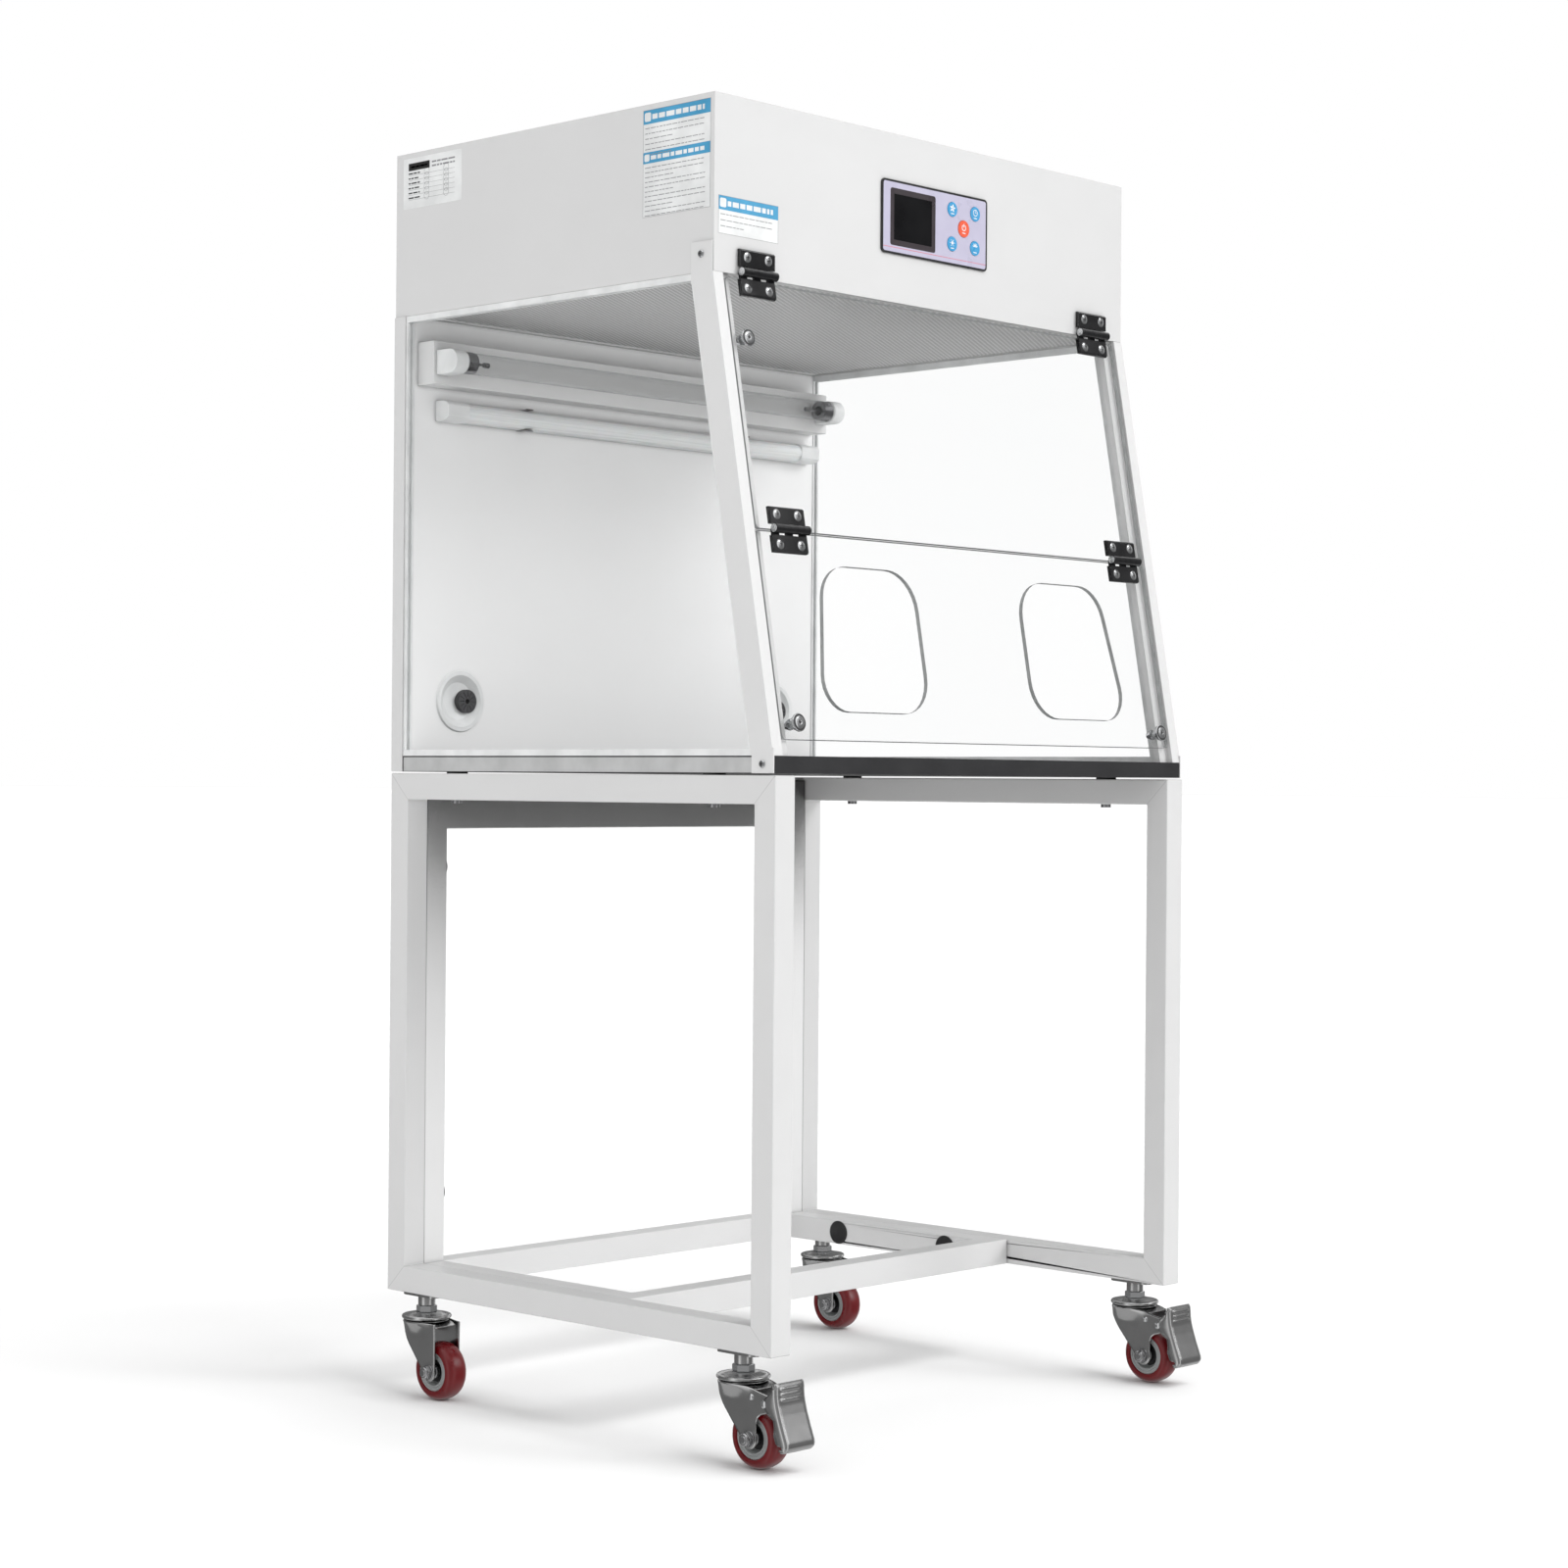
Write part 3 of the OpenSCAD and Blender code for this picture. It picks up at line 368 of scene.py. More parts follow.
def filter_paper():
    """Pleated filter paper: fine folds along Y on off-white fibre, painted darker in the fold valleys and lighter on
    the crests as shade and light.
    """
    g = Graph("filter_paper")
    x = g.axes()[0]
    pleat = g.absolute(g.minus(g.math("FRACT", g.times(x, 220)), 0.5))
    fibre = g.noise(900, 5, 0.7)
    # painted shade and light: dark in the fold valleys, light on the crests
    base = g.mix(g.times(pleat, 2), (0.5, 0.49, 0.44), (0.78, 0.77, 0.72))
    base = g.mix(g.times(fibre, 0.2), base, (0.6, 0.6, 0.58))
    return g.set(Base_Color=base, Roughness=0.9, Normal=g.bump(g.plus(pleat, fibre), 0.4, 0.001))


def opal_tube():
    """Milky lamp cover: soft, slightly translucent white with fine extrusion lines along X, and painted shade in
    corners and gaps.
    """
    g = Graph("opal_cover")
    lines = g.noise(500, 2, stretch=(0.01, 1, 1))
    base = g.mix(lines, (0.72, 0.73, 0.73), (0.8, 0.81, 0.81))
    # painted shade: darker where the cover sits in a corner or gap within 2 cm
    base = g.mix(g.remap(occlusion_shade(g, 0.02), 0.3, 0.9, 0.7, 0), base, grey(0.2))
    return g.set(Base_Color=base, Roughness=g.remap(lines, 0.3, 0.7, 0.22, 0.34), Subsurface_Weight=0.1,
                 Normal=g.bump(lines, 0.05, 0.0003))


def circuit_board():
    g = Graph("circuit_board")
    track = g.remap(g.noise(260, 0, stretch=(1, 0.2, 1)), 0.49, 0.51)
    base = g.mix(track, (0.01, 0.09, 0.035), (0.02, 0.17, 0.06))
    return g.set(Base_Color=base, Roughness=0.35, Normal=g.bump(track, 0.2, 0.0002))


def quartz_glass():
    """Clear lamp tube: see-through in the middle, grey and mirroring towards its edges."""
    g = Graph("quartz_tube")
    see = g.clear(g.noise(12, 4, stretch=(0.3, 1, 1)), (0.93, 0.935, 0.935), grey(0.98))
    g.set(Base_Color=g.mix(g.noise(30), (0.42, 0.43, 0.43), grey(0.5)), Roughness=0.12)
    rim = g.remap(g.slant(3), 0, 1, 0.05, 0.75)
    g.link(g.blend(rim, see, g.shader.outputs[0]), g.output.inputs["Surface"])
    return g.material


def button_cap(name, colour):
    """Domed membrane button: saturated gloss."""
    g = Graph(name)
    cloud = g.noise(180)
    base = g.mix(cloud, shade(colour, 0.9), shade(colour, 1.05))
    return g.set(Base_Color=base, Roughness=g.remap(cloud, 0.3, 0.7, 0.24, 0.32), Coat_Weight=0.4,
                 Normal=g.bump(g.noise(1500, 2), 0.06, 0.0002))


BLUE = button_cap("blue_button_cap", (0.05, 0.33, 0.62))
RED = button_cap("red_button_cap", (0.82, 0.11, 0.045))


def printed_film():
    """The control panel's film: a black rounded border, a lavender field, a dark bezel and one thin red line."""
    g = Graph("panel_film")
    low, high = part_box("control_panel")
    screen_low, screen_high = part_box("display_screen")
    x, _, z = g.axes()

    def inside(left, right, bottom, top, radius):
        """Distance outside a rounded rectangle, negative within it."""
        def beyond(value, a, b):
            off = g.absolute(g.minus(value, (a + b) / 2))
            return g.math("MAXIMUM", g.minus(off, (b - a) / 2 - radius), 0)
        u, v = beyond(x, left, right), beyond(z, bottom, top)
        reach = g.math("SQRT", g.plus(g.times(u, u), g.times(v, v)))
        return g.minus(reach, radius)

    border = 2.4 * MM
    field = inside(low[0] + border, high[0] - border, low[2] + border, high[2] - border, 3 * MM)
    frame_mask = g.math("GREATER_THAN", field, 0)
    rim = 6.4 * MM
    bezel = inside(screen_low[0] - rim, screen_high[0] + rim, screen_low[2] - rim, screen_high[2] + rim, 3 * MM)
    bezel_mask = g.below(bezel, 0)
    line_z = low[2] + 7.5 * MM
    line = g.below(g.absolute(g.minus(z, line_z)), 0.35 * MM)
    cloud = g.noise(40)
    base = g.mix(cloud, (0.47, 0.45, 0.58), (0.52, 0.5, 0.63))
    base = g.mix(line, base, (0.6, 0.16, 0.22))
    base = g.mix(bezel_mask, base, (0.035, 0.026, 0.032))
    base = g.mix(frame_mask, base, (0.012, 0.012, 0.013))
    return g.set(Base_Color=base, Roughness=g.remap(cloud, 0.3, 0.7, 0.26, 0.36), Coat_Weight=0.2,
                 Normal=g.bump(g.noise(1500, 2), 0.05, 0.0002))


SCREEN = moulded("screen_glass", (0.004, 0.004, 0.005), 0.3, 300, 0.005)
SCREEN.node_tree.nodes["Principled BSDF"].inputs["Specular IOR Level"].default_value = 0.12
FAN_PLASTIC = moulded("fan_moulding", (0.05, 0.05, 0.052), 0.5)
GROMMET = moulded("grommet_rubber", (0.055, 0.055, 0.058), 0.62, 600, 0.2)

LOOKS = {
    PAINT: "rear_panel head_shell head_top_cover",
    POST_PAINT: "left_front_post right_front_post",
    LIT_LINER_PAINT: "back_liner",
    FIXTURE_PAINT: "uv_fixture",
    FRAME_PAINT: "left_side_frame right_side_frame",
    BASE_PAINT: "base_inner_frame",
    REAR_PAINT: "rear_inner_frame",
    BOLT_STEEL: "frame_bolts hood_bolts",
    CHROME: "caster_mounts casing_screws upper_sash_catch lower_sash_knobs",
    BLACK: "frame_plugs power_inlet",
    RUBBER: "hood_pads",
    worktop_coating(): "worktop",
    GREY_TRIM: "worktop_edge_rails",
    SIDE_CLEAR: "left_window right_window",
    SASH_CLEAR: "upper_sash lower_sash",
    WHITE_MOULDING: "left_window_trim right_window_trim uv_sockets cable_ports",
    filter_paper(): "prefilter hepa_filter",
    GALVANISED: "fan_deck",
    FAN_PLASTIC: "fan_impeller fan_motor",
    perforated_sheet(): "diffuser_plate",
    printed_film(): "control_panel",
    SCREEN: "display_screen",
    circuit_board(): "control_board",
    BLUE: "fan_button timer_button lamp_button uv_button",
    RED: "power_button",
    quartz_glass(): "uv_lamp",
    opal_tube(): "led_batten",
    GROMMET: "port_grommets",
    HINGE: "head_hinge_leaves upper_sash_leaves lower_sash_leaves",
    ZINC: " ".join([f"{corner}_fork {corner}_wheel" for corner in CORNERS]
                   + [f"{corner}_pedal" for corner in FRONT_CORNERS]),
}
for look, names in LOOKS.items():
    for node_name in names.split():
        node = NODES[node_name]
        node.data.materials.clear()
        node.data.materials.append(look)


# ---- mesh helpers

def placed(origin, across, up):
    """Local millimetres to the row frame: local X runs along across, local Y along up, local Z out of the face."""
    x_axis, y_axis = Vector(across).normalized(), Vector(up).normalized()
    turn = Matrix((x_axis, y_axis, x_axis.cross(y_axis))).transposed().to_4x4()
    return Matrix.Translation(origin) @ turn @ Matrix.Scale(MM, 4)


def add_object(name, data):
    made = bpy.data.objects.new(name, data)
    bpy.context.collection.objects.link(made)
    return made


def modify(part, name, kind, **settings):
    modifier = part.modifiers.new(name, kind)
    for key, value in settings.items():
        setattr(modifier, key, value)


def circle(radius, steps=40, centre=(0, 0), start=0):
    return [(centre[0] + radius * math.cos(start + math.tau * i / steps),
             centre[1] + radius * math.sin(start + math.tau * i / steps)) for i in range(steps)]


def rectangle(left, bottom, right, top):
    return [(left, bottom), (right, bottom), (right, top), (left, top)]


def rounded_rectangle(left, bottom, right, top, radius, steps=6):
    corners = [(right - radius, top - radius, 0), (left + radius, top - radius, 1),
               (left + radius, bottom + radius, 2), (right - radius, bottom + radius, 3)]
    return [(x + radius * math.cos(math.pi / 2 * (quarter + i / steps)),
             y + radius * math.sin(math.pi / 2 * (quarter + i / steps)))
            for x, y, quarter in corners for i in range(steps + 1)]


def arc_band(outer, inner, start, sweep, steps=24, centre=(0, 0)):
    """A ring or part of one, as one outline. Angles are in degrees."""
    turn = [math.radians(start + sweep * i / steps) for i in range(steps + 1)]
    return ([(centre[0] + outer * math.cos(a), centre[1] + outer * math.sin(a)) for a in turn]
            + [(centre[0] + inner * math.cos(a), centre[1] + inner * math.sin(a)) for a in reversed(turn)])


class Shape:
    """One piece, put together in local millimetres from prisms, lathed forms and lofted sheets."""

    def __init__(self):
        self.bm = bmesh.new()
        self.materials = []

    def index(self, material):
        if material not in self.materials:
            self.materials.append(material)
        return self.materials.index(material)

    def face(self, vertices, material):
        try:
            self.bm.faces.new(vertices).material_index = self.index(material)
        except ValueError:
            pass

    def loft(self, rows, material, closed=True, capped=False):
        """Joins rows of points with equal counts by quads. capped fills the first and the last row."""
        rings = [[self.bm.verts.new(point) for point in row] for row in rows]
        count = len(rings[0])
        for low, high in zip(rings, rings[1:]):
            for i in range(count if closed else count - 1):
                j = (i + 1) % count
                self.face((low[i], low[j], high[j], high[i]), material)
        if capped:
            self.face(list(reversed(rings[0])), material)
            self.face(rings[-1], material)

    def prism(self, outline, low, high, material):
        self.loft([[(x, y, z) for x, y in outline] for z in (low, high)], material, capped=True)

    def lathe(self, profile, material, centre=(0, 0), steps=40):
        """Turns (radius, height) points about local Z. A profile that starts and ends at radius 0 is closed."""
        self.loft([[(x, y, height) for x, y in circle(max(radius, 1e-4), steps, centre)]
                   for radius, height in profile], material)

    def tube(self, profile, material, centre=(0, 0), steps=40):
        """As lathe, for a closed ring of (radius, height) points that doesn't meet the axis."""
        self.lathe(list(profile) + [profile[0]], material, centre, steps)

    def lathe_x(self, profile, material, centre, way, steps=28):
        """Turns (radius, reach) points about an axis along local X, reaching out to one side of the centre."""
        x, y, z = centre
        self.loft([[(x + way * reach, u, v) for u, v in circle(radius, steps, (y, z))] for radius, reach in profile],
                  material)

    def done(self, name, place, body, finish, bevel=0, sharp=35, thickness=0):
        """Makes the object and rides it on its body. bevel and thickness are in millimetres, sharp in degrees."""
        bmesh.ops.remove_doubles(self.bm, verts=self.bm.verts, dist=0.0005)
        bmesh.ops.recalc_face_normals(self.bm, faces=self.bm.faces)
        bmesh.ops.transform(self.bm, matrix=place, verts=self.bm.verts)
        if place.determinant() < 0:
            bmesh.ops.reverse_faces(self.bm, faces=self.bm.faces)
        mesh = bpy.data.meshes.new(name)
        self.bm.to_mesh(mesh)
        self.bm.free()
        for material in self.materials:
            mesh.materials.append(material)
        for polygon in mesh.polygons:
            polygon.use_smooth = True
        mesh.set_sharp_from_angle(angle=math.radians(sharp))
        made = add_object(name, mesh)
        if thickness:
            modify(made, "thickness", "SOLIDIFY", thickness=thickness * MM, offset=-1)
        if bevel:
            modify(made, "soft_edges", "BEVEL", width=bevel * MM, segments=2, limit_method="ANGLE",
                   angle_limit=math.radians(30))
        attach(made, body)
        return made


X, Y, Z = Vector((1, 0, 0)), Vector((0, 1, 0)), Vector((0, 0, 1))
UP_SLOPE = Vector((0, math.sin(LEAN), math.cos(LEAN)))
INTO_SLOPE = Vector((0, math.cos(LEAN), -math.sin(LEAN)))
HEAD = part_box("head_shell")
HEAD_FRONT = placed(HEAD[0], X, Z)
HEAD_LEFT = placed(HEAD[0], -Y, Z)


# ---- printed labels

LABEL_WHITE = moulded("label_white", (0.76, 0.77, 0.77), 0.34, 1500, 0.04)
LABEL_BLUE = moulded("label_blue", (0.055, 0.32, 0.55), 0.34, 1500, 0.04)
LABEL_GREY = moulded("label_grey_ink", (0.27, 0.27, 0.28), 0.4, 1500, 0.04)
LABEL_BLACK = moulded("label_black_ink", grey(0.02), 0.4, 1500, 0.04)
INK_BASE, INK_TOP = 0.1, 0.16
SECTION_GAP = 5
SIDE_MARGIN = 3
PRINT_HEIGHT = 0.85
FULL_ROW, LAST_ROW = 0.95, 0.45
draw = random.Random(11)


def word_bars(shape, left, right, y, height, material, longest=9, space=1.3, fill=1):
    """A row of short bars of uneven length, standing for a line of small print."""
    x = left
    end = left + (right - left) * fill
    while x < end - 2:
        length = min(draw.uniform(0.3, 1) * longest, end - x)
        shape.prism(rectangle(x, y, x + length, y + height), INK_BASE, INK_TOP, material)
        x += length + space


def outline_bars(shape, left, bottom, right, top, width, material):
    for sides in ((left, bottom, right, bottom + width), (left, top - width, right, top),
                  (left, bottom, left + width, top), (right - width, bottom, right, top)):
        shape.prism(rectangle(*sides), INK_BASE, INK_TOP, material)


def heading(shape, left, bottom, right, top):
    """A blue band with a plain white square and a row of white bars."""
    shape.prism(rectangle(left, bottom, right, top), 0.08, 0.14, LABEL_BLUE)
    height = top - bottom
    side = height * 0.64
    low = (top + bottom - side) / 2
    shape.prism(rounded_rectangle(left + 2, low, left + 2 + side, low + side, side * 0.22, 4),
                INK_BASE, INK_TOP + 0.02, LABEL_WHITE)
    word_bars(shape, left + 4 + side, right - SIDE_MARGIN, bottom + height * 0.3, height * 0.36,
              LABEL_WHITE, longest=(right - left) * 0.13, space=2, fill=0.93)


def notice(name, place, left, bottom, width, height, sections):
    """A label of one or more sections, each (band top, band height, rows of small print, row pitch)."""
    shape = Shape()
    right, top = left + width, bottom + height
    shape.prism(rounded_rectangle(left, bottom, right, top, 1), 0, 0.1, LABEL_WHITE)
    outline_bars(shape, left, bottom, right, top, 0.35, LABEL_GREY)
    for band_top, band_height, rows, pitch in sections:
        heading(shape, left, band_top - band_height, right, band_top)
        for row in range(rows):
            y = band_top - band_height - SECTION_GAP - row * pitch
            word_bars(shape, left + SIDE_MARGIN, right - SIDE_MARGIN, y, PRINT_HEIGHT, LABEL_GREY,
                      fill=LAST_ROW if row % 3 == 2 else FULL_ROW)
    shape.done(name, place, ROOT, "white_plastic")


notice("operation_notice", HEAD_LEFT, -107, 67, 101, 114, [(181, 15, 6, 5.6), (136, 12, 11, 5.1)])
notice("lamp_notice", HEAD_FRONT, 6.4, 40, 90.5, 40, [(80, 15, 3, 6.2)])


def rating_plate():
    """A pale sticker with a dark block, ruled lines and filled-in fields."""
    shape = Shape()
    left, right, bottom, top = -504, -402, 123, 181
    shape.prism(rounded_rectangle(left, bottom, right, top, 1.5), 0, 0.1, LABEL_WHITE)
    in_left, in_right, in_top = left + 9, right - 12, top - 6
    shape.prism(rectangle(in_left, in_top - 8.5, in_left + 37, in_top), INK_BASE, INK_TOP, LABEL_BLACK)
    word_bars(shape, in_left + 4, in_left + 33, in_top - 5.6, 2.4, LABEL_WHITE, longest=14)
    for row in range(2):
        word_bars(shape, in_left + 41, in_right, in_top - 3.4 - 4.6 * row, 2, LABEL_GREY, longest=12)
    for row in range(6):
        y = in_top - 12.5 - 5.6 * row
        shape.prism(rectangle(in_left, y - 1.6, in_right, y - 1.3), INK_BASE, INK_TOP, LABEL_GREY)
        word_bars(shape, in_left, in_left + 20, y, 1.5, LABEL_BLACK, longest=11)
        for at in (28, 62):
            shape.prism(arc_band(4.6, 4.2, 0, 359.9, 20, (in_left + at + 4, y + 1)), INK_BASE, INK_TOP, LABEL_GREY)
    shape.done("rating_plate", HEAD_LEFT, ROOT, "white_plastic")


rating_plate()


# ---- control panel

ICON_WHITE = moulded("icon_white", (0.82, 0.84, 0.85), 0.35, 900, 0.03)


def petal(angle, near, far, width):
    """A leaf-shaped outline that points away from the middle."""
    points = []
    steps = 10
    for i in range(steps + 1):
        along = near + (far - near) * i / steps
        points.append((along, width / 2 * math.sin(math.pi * (0.08 + 0.84 * i / steps))))
    points += [(x, -y) for x, y in reversed(points)]
    turn = math.radians(angle)
    return [(x * math.cos(turn) - y * math.sin(turn), x * math.sin(turn) + y * math.cos(turn)) for x, y in points]


ICONS = {
    "fan_button": [petal(72 * i + 10, 0.6, 4.4, 2.1) for i in range(5)],
    "timer_button": [arc_band(3.9, 3.1, 0, 359.9), rectangle(-0.35, 0, 0.35, 2.6), rectangle(0, -0.35, 2, 0.35)],
    "power_button": [arc_band(3.6, 2.6, 118, 304), rectangle(-0.5, 0.6, 0.5, 4.4)],
    "lamp_button": [circle(1.9, 24)] + [petal(60 * i, 2.5, 4.3, 0.8) for i in range(6)],
    "uv_button": [petal(20 + 35 * i, 0.9, 4.6, 1.2) for i in range(5)],
}
for button, outlines in ICONS.items():
    icon = Shape()
    for outline in outlines:
        icon.prism([(x, y + 1.2) for x, y in outline], 0, 0.12, ICON_WHITE)
    icon.prism(rectangle(-2.8, -5.4, 2.8, -4.4), 0, 0.12, ICON_WHITE)
    icon.done(button + "_icon", placed(JOINTS[button + "_press"]["pos_m"], X, Z), button + "_body", "white_plastic")


# ---- hinge screws and pin ends

SCREW_R = 5.6


def shaded_cross_drive(shape, x, y, reach, half_slot, low, high):
    """A cross-shaped drive in a screw head, filled black as painted shade."""
    for half_x, half_y in ((reach, half_slot), (half_slot, reach)):
        shape.prism(rectangle(x - half_x, y - half_y, x + half_x, y + half_y), low, high, BLACK)


def oval_head_screw(shape, centre):
    """Raised countersunk head in a dark sink, with its cross drive filled black as painted shade."""
    sink = [(SCREW_R + 0.5, 0.02), (SCREW_R + 0.3, 0.1), (SCREW_R - 0.3, 0.1), (SCREW_R - 0.3, -0.3)]
    dome = [(0, 1.15), (SCREW_R * 0.4, 1), (SCREW_R * 0.75, 0.55), (SCREW_R * 0.93, 0.1), (SCREW_R - 0.6, -0.4),
            (0, -0.4)]
    shape.lathe(sink, BLACK, centre, 28)
    shape.lathe(dome, CHROME, centre, 28)
    shaded_cross_drive(shape, *centre, 2.4, 0.5, 0.5, 1.2)


HINGE_LOW, HINGE_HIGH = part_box("lower_sash_leaves")
LEAF_WIDTH = 52
LEAF_THICK = 5
SIDE_PLAY = 0.15
HINGE_XS = [HINGE_LOW[0] / MM + LEAF_WIDTH / 2 - SIDE_PLAY, HINGE_HIGH[0] / MM - LEAF_WIDTH / 2 + SIDE_PLAY]
LEAF_SCREW = 16
LEAF_FACE = INTO_SLOPE * 3 * MM
HEAD_LEAF_FACE = Vector((0, HEAD[0][1] - LEAF_THICK * MM, UPPER_PIN.z))


def hinge_fittings(name, origin, up, side, body):
    """Two screws in each of two leaves. side is 1 for the leaf above the pin and -1 for the one below."""
    shape = Shape()
    for x in HINGE_XS:
        for dx in (-LEAF_SCREW, LEAF_SCREW):
            oval_head_screw(shape, (x + dx, side * LEAF_SCREW))
    shape.done(name, placed(origin, X, up), body, "chrome")


hinge_fittings("head_hinge_screws", HEAD_LEAF_FACE, Z, 1, ROOT)
hinge_fittings("upper_sash_top_screws", UPPER_PIN + LEAF_FACE, UP_SLOPE, -1, "upper_sash_group")
hinge_fittings("upper_sash_low_screws", LOWER_PIN + LEAF_FACE, UP_SLOPE, 1, "upper_sash_group")
hinge_fittings("lower_sash_screws", LOWER_PIN + LEAF_FACE, UP_SLOPE, -1, "lower_sash_group")


def pin_ends(name, origin, body):
    """Bright end collars on the hinge barrels."""
    collar = [(4.3, -0.02), (4.3, 0.35), (3.6, 0.6), (2.6, 0.6), (2.3, 1), (1.2, 1.25), (0.01, 1.3)]
    shape = Shape()
    for x in HINGE_XS:
        for side in (-1, 1):
            shape.lathe_x(collar, CHROME, (x + side * LEAF_WIDTH / 2, 0, 0), side)
    shape.done(name, placed(origin, X, Y), body, "chrome")


pin_ends("head_hinge_pin_ends", UPPER_PIN, ROOT)
pin_ends("middle_hinge_pin_ends", LOWER_PIN, "upper_sash_group")


def post_screw_drive_shade():
    """Cross drives in the pan-head screws at both ends of the posts, filled black as painted shade."""
    low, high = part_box("casing_screws")
    head_radius = 4.2 * MM
    for name, x, side in (("left", low[0], -1), ("right", high[0], 1)):
        shape = Shape()
        for y, z in ((high[1] - head_radius, high[2] - head_radius), (low[1] + head_radius, low[2] + head_radius)):
            shaded_cross_drive(shape, (y - low[1]) / MM * -side, (z - low[2]) / MM, 2, 0.42, -0.05, 0.8)
        shape.done(name + "_post_screw_recesses", placed((x, low[1], low[2]), Y * -side, Z), ROOT, "black_plastic")


post_screw_drive_shade()


# ---- knobs on the sashes

PIN_PROUD = 8
SHEET = 5
OUTER_FACE = -PIN_PROUD + 0.02
INNER_FACE = -PIN_PROUD - SHEET - 0.02
KNOB_X = 311.5
SASH_JOINT = 260
KNOB_UP, CATCH_UP = 54.5 - SASH_JOINT, 465.5 - SASH_JOINT


def knob(shape, centre, height):
    """Domed chrome knob with a groove round its crown and a dimple on top, both filled black as painted shade, a stud
    through the sheet and a round nut behind it.
    """
    low, top = OUTER_FACE, OUTER_FACE + height
    body = [(0, low), (6.5, low), (5.7, low + height * 0.3), (9, low + height * 0.5), (9.6, low + height * 0.62),
            (9.6, top - 1.9), (9.1, top - 1.2), (8.4, top - 1.2), (0, top - 1.2)]
    shaded_groove = [(8.6, top - 1.3), (8.6, top - 0.9), (6.7, top - 0.9), (6.7, top - 1.3)]
    crown = [(6.8, top - 1.3), (6.7, top - 0.8), (5.6, top - 0.25), (3.6, top - 0.02), (2.2, top - 0.1),
             (1.6, top - 0.6),
             (0, top - 0.6)]
    shaded_dimple = [(0, top - 0.59), (1.6, top - 0.59), (1.5, top - 0.35), (0, top - 0.3)]
    stud = [(0, low + 0.5), (2, low + 0.5), (2, INNER_FACE - 0.5), (0, INNER_FACE - 0.5)]
    nut = [(0, INNER_FACE), (6, INNER_FACE), (6, INNER_FACE - 1.5), (3.5, INNER_FACE - 7.3), (0, INNER_FACE - 7.4)]
    shape.lathe(body, CHROME, centre, 40)
    # painted shade: the groove round the crown is black
    shape.tube(shaded_groove, BLACK, centre, 40)
    shape.lathe(crown, CHROME, centre, 40)
    # painted shade: the dimple on top is black
    shape.lathe(shaded_dimple, BLACK, centre, 20)
    shape.lathe(stud, CHROME, centre, 20)
    shape.lathe(nut, CHROME, centre, 32)


def sash_knobs(name, body, replaced, xs, along, height):
    """Knobs in a row across a sash. Local Z points out of the sheet, from the hinge pins' plane."""
    shape = Shape()
    for x in xs:
        knob(shape, (x, along), height)
    made = shape.done(name, placed(LOWER_PIN, X, UP_SLOPE), body, "chrome", bevel=0.15)
    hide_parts(replaced)


sash_knobs("lower_sash_knob_set", "lower_sash_group", "lower_sash_knobs", (-KNOB_X, KNOB_X), KNOB_UP, 9.5)
sash_knobs("upper_sash_catch_knob", "upper_sash_group", "upper_sash_catch", (-KNOB_X,), CATCH_UP, 6)


# ---- lamps

ALUMINIUM = plated("lamp_cap_aluminium", (0.36, 0.36, 0.37), 0.26, (1, 30, 30), 0.06)


def along_x(box_low, box_high):
    """The left end of a lamp: local Z runs along +X, and local X and Y run along +Y and +Z."""
    centre = [(low + high) / 2 for low, high in zip(box_low, box_high)]
    return placed((box_low[0], centre[1], centre[2]), Y, Z)


def lamp_caps():
    low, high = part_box("uv_lamp")
    length = (high[0] - low[0]) / MM
    shape = Shape()
    pin, cap, radius = 7, 17, 12.75
    for start, way in ((pin, 1), (length - pin, -1)):
        shape.lathe([(0, start), (radius - 1, start), (radius, start + way), (radius, start + way * (cap - 2)),
                     (radius - 0.5, start + way * cap), (0, start + way * cap)], ALUMINIUM)
        stem = start + way * (cap + 16)
        shape.lathe([(0, start + way * cap), (3.2, start + way * cap), (2.2, stem - way * 8), (1.2, stem), (0, stem)],
                    ALUMINIUM)
        for i in range(7):
            at = stem + way * (1.5 + i * 1.1)
            shape.tube([(2.6, at - 0.3), (3.1, at - 0.3), (3.1, at + 0.3), (2.6, at + 0.3)], BOLT_STEEL, steps=20)
    shape.done("uv_lamp_caps", along_x(low, high), ROOT, "zinc")


lamp_caps()


def batten_fittings():
    """White end caps and two spring clips on the lamp batten."""
    low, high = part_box("led_batten")
    length = (high[0] - low[0]) / MM
    depth, tall = (high[1] - low[1]) / MM, (high[2] - low[2]) / MM
    outline = [(-depth / 2 - 0.4, -tall * 0.30), (-depth / 2 + 3, -tall * 0.44), (-1, -tall / 2 - 0.4),
               (depth / 2 - 0.2, -tall / 2 - 0.4), (depth / 2 - 0.2, tall / 2 + 0.4), (-1, tall / 2 + 0.4),
               (-depth / 2 + 3, tall * 0.44), (-depth / 2 - 0.4, tall * 0.30)]
    caps = Shape()
    for start in (0, length - 33):
        caps.prism(outline, start - 0.3, start + 33.3, WHITE_MOULDING)
    caps.done("batten_end_caps", along_x(low, high), ROOT, "white_plastic", bevel=0.8)
    clips = Shape()
    for at in (length / 2 - 185, length / 2 + 185):
        for way in (-1, 1):
            lip = way * (tall / 2 + 0.2)
            clips.prism([(depth / 2 - 0.2, lip), (-5.5, lip), (-7, lip + way * 1.2), (-6, lip + way * 1.8),
                         (-4.5, lip + way * 0.9), (depth / 2 - 0.2, lip + way * 0.9)], at - 5.5, at + 5.5, BOLT_STEEL)
    clips.done("batten_clips", along_x(low, high), ROOT, "chrome")


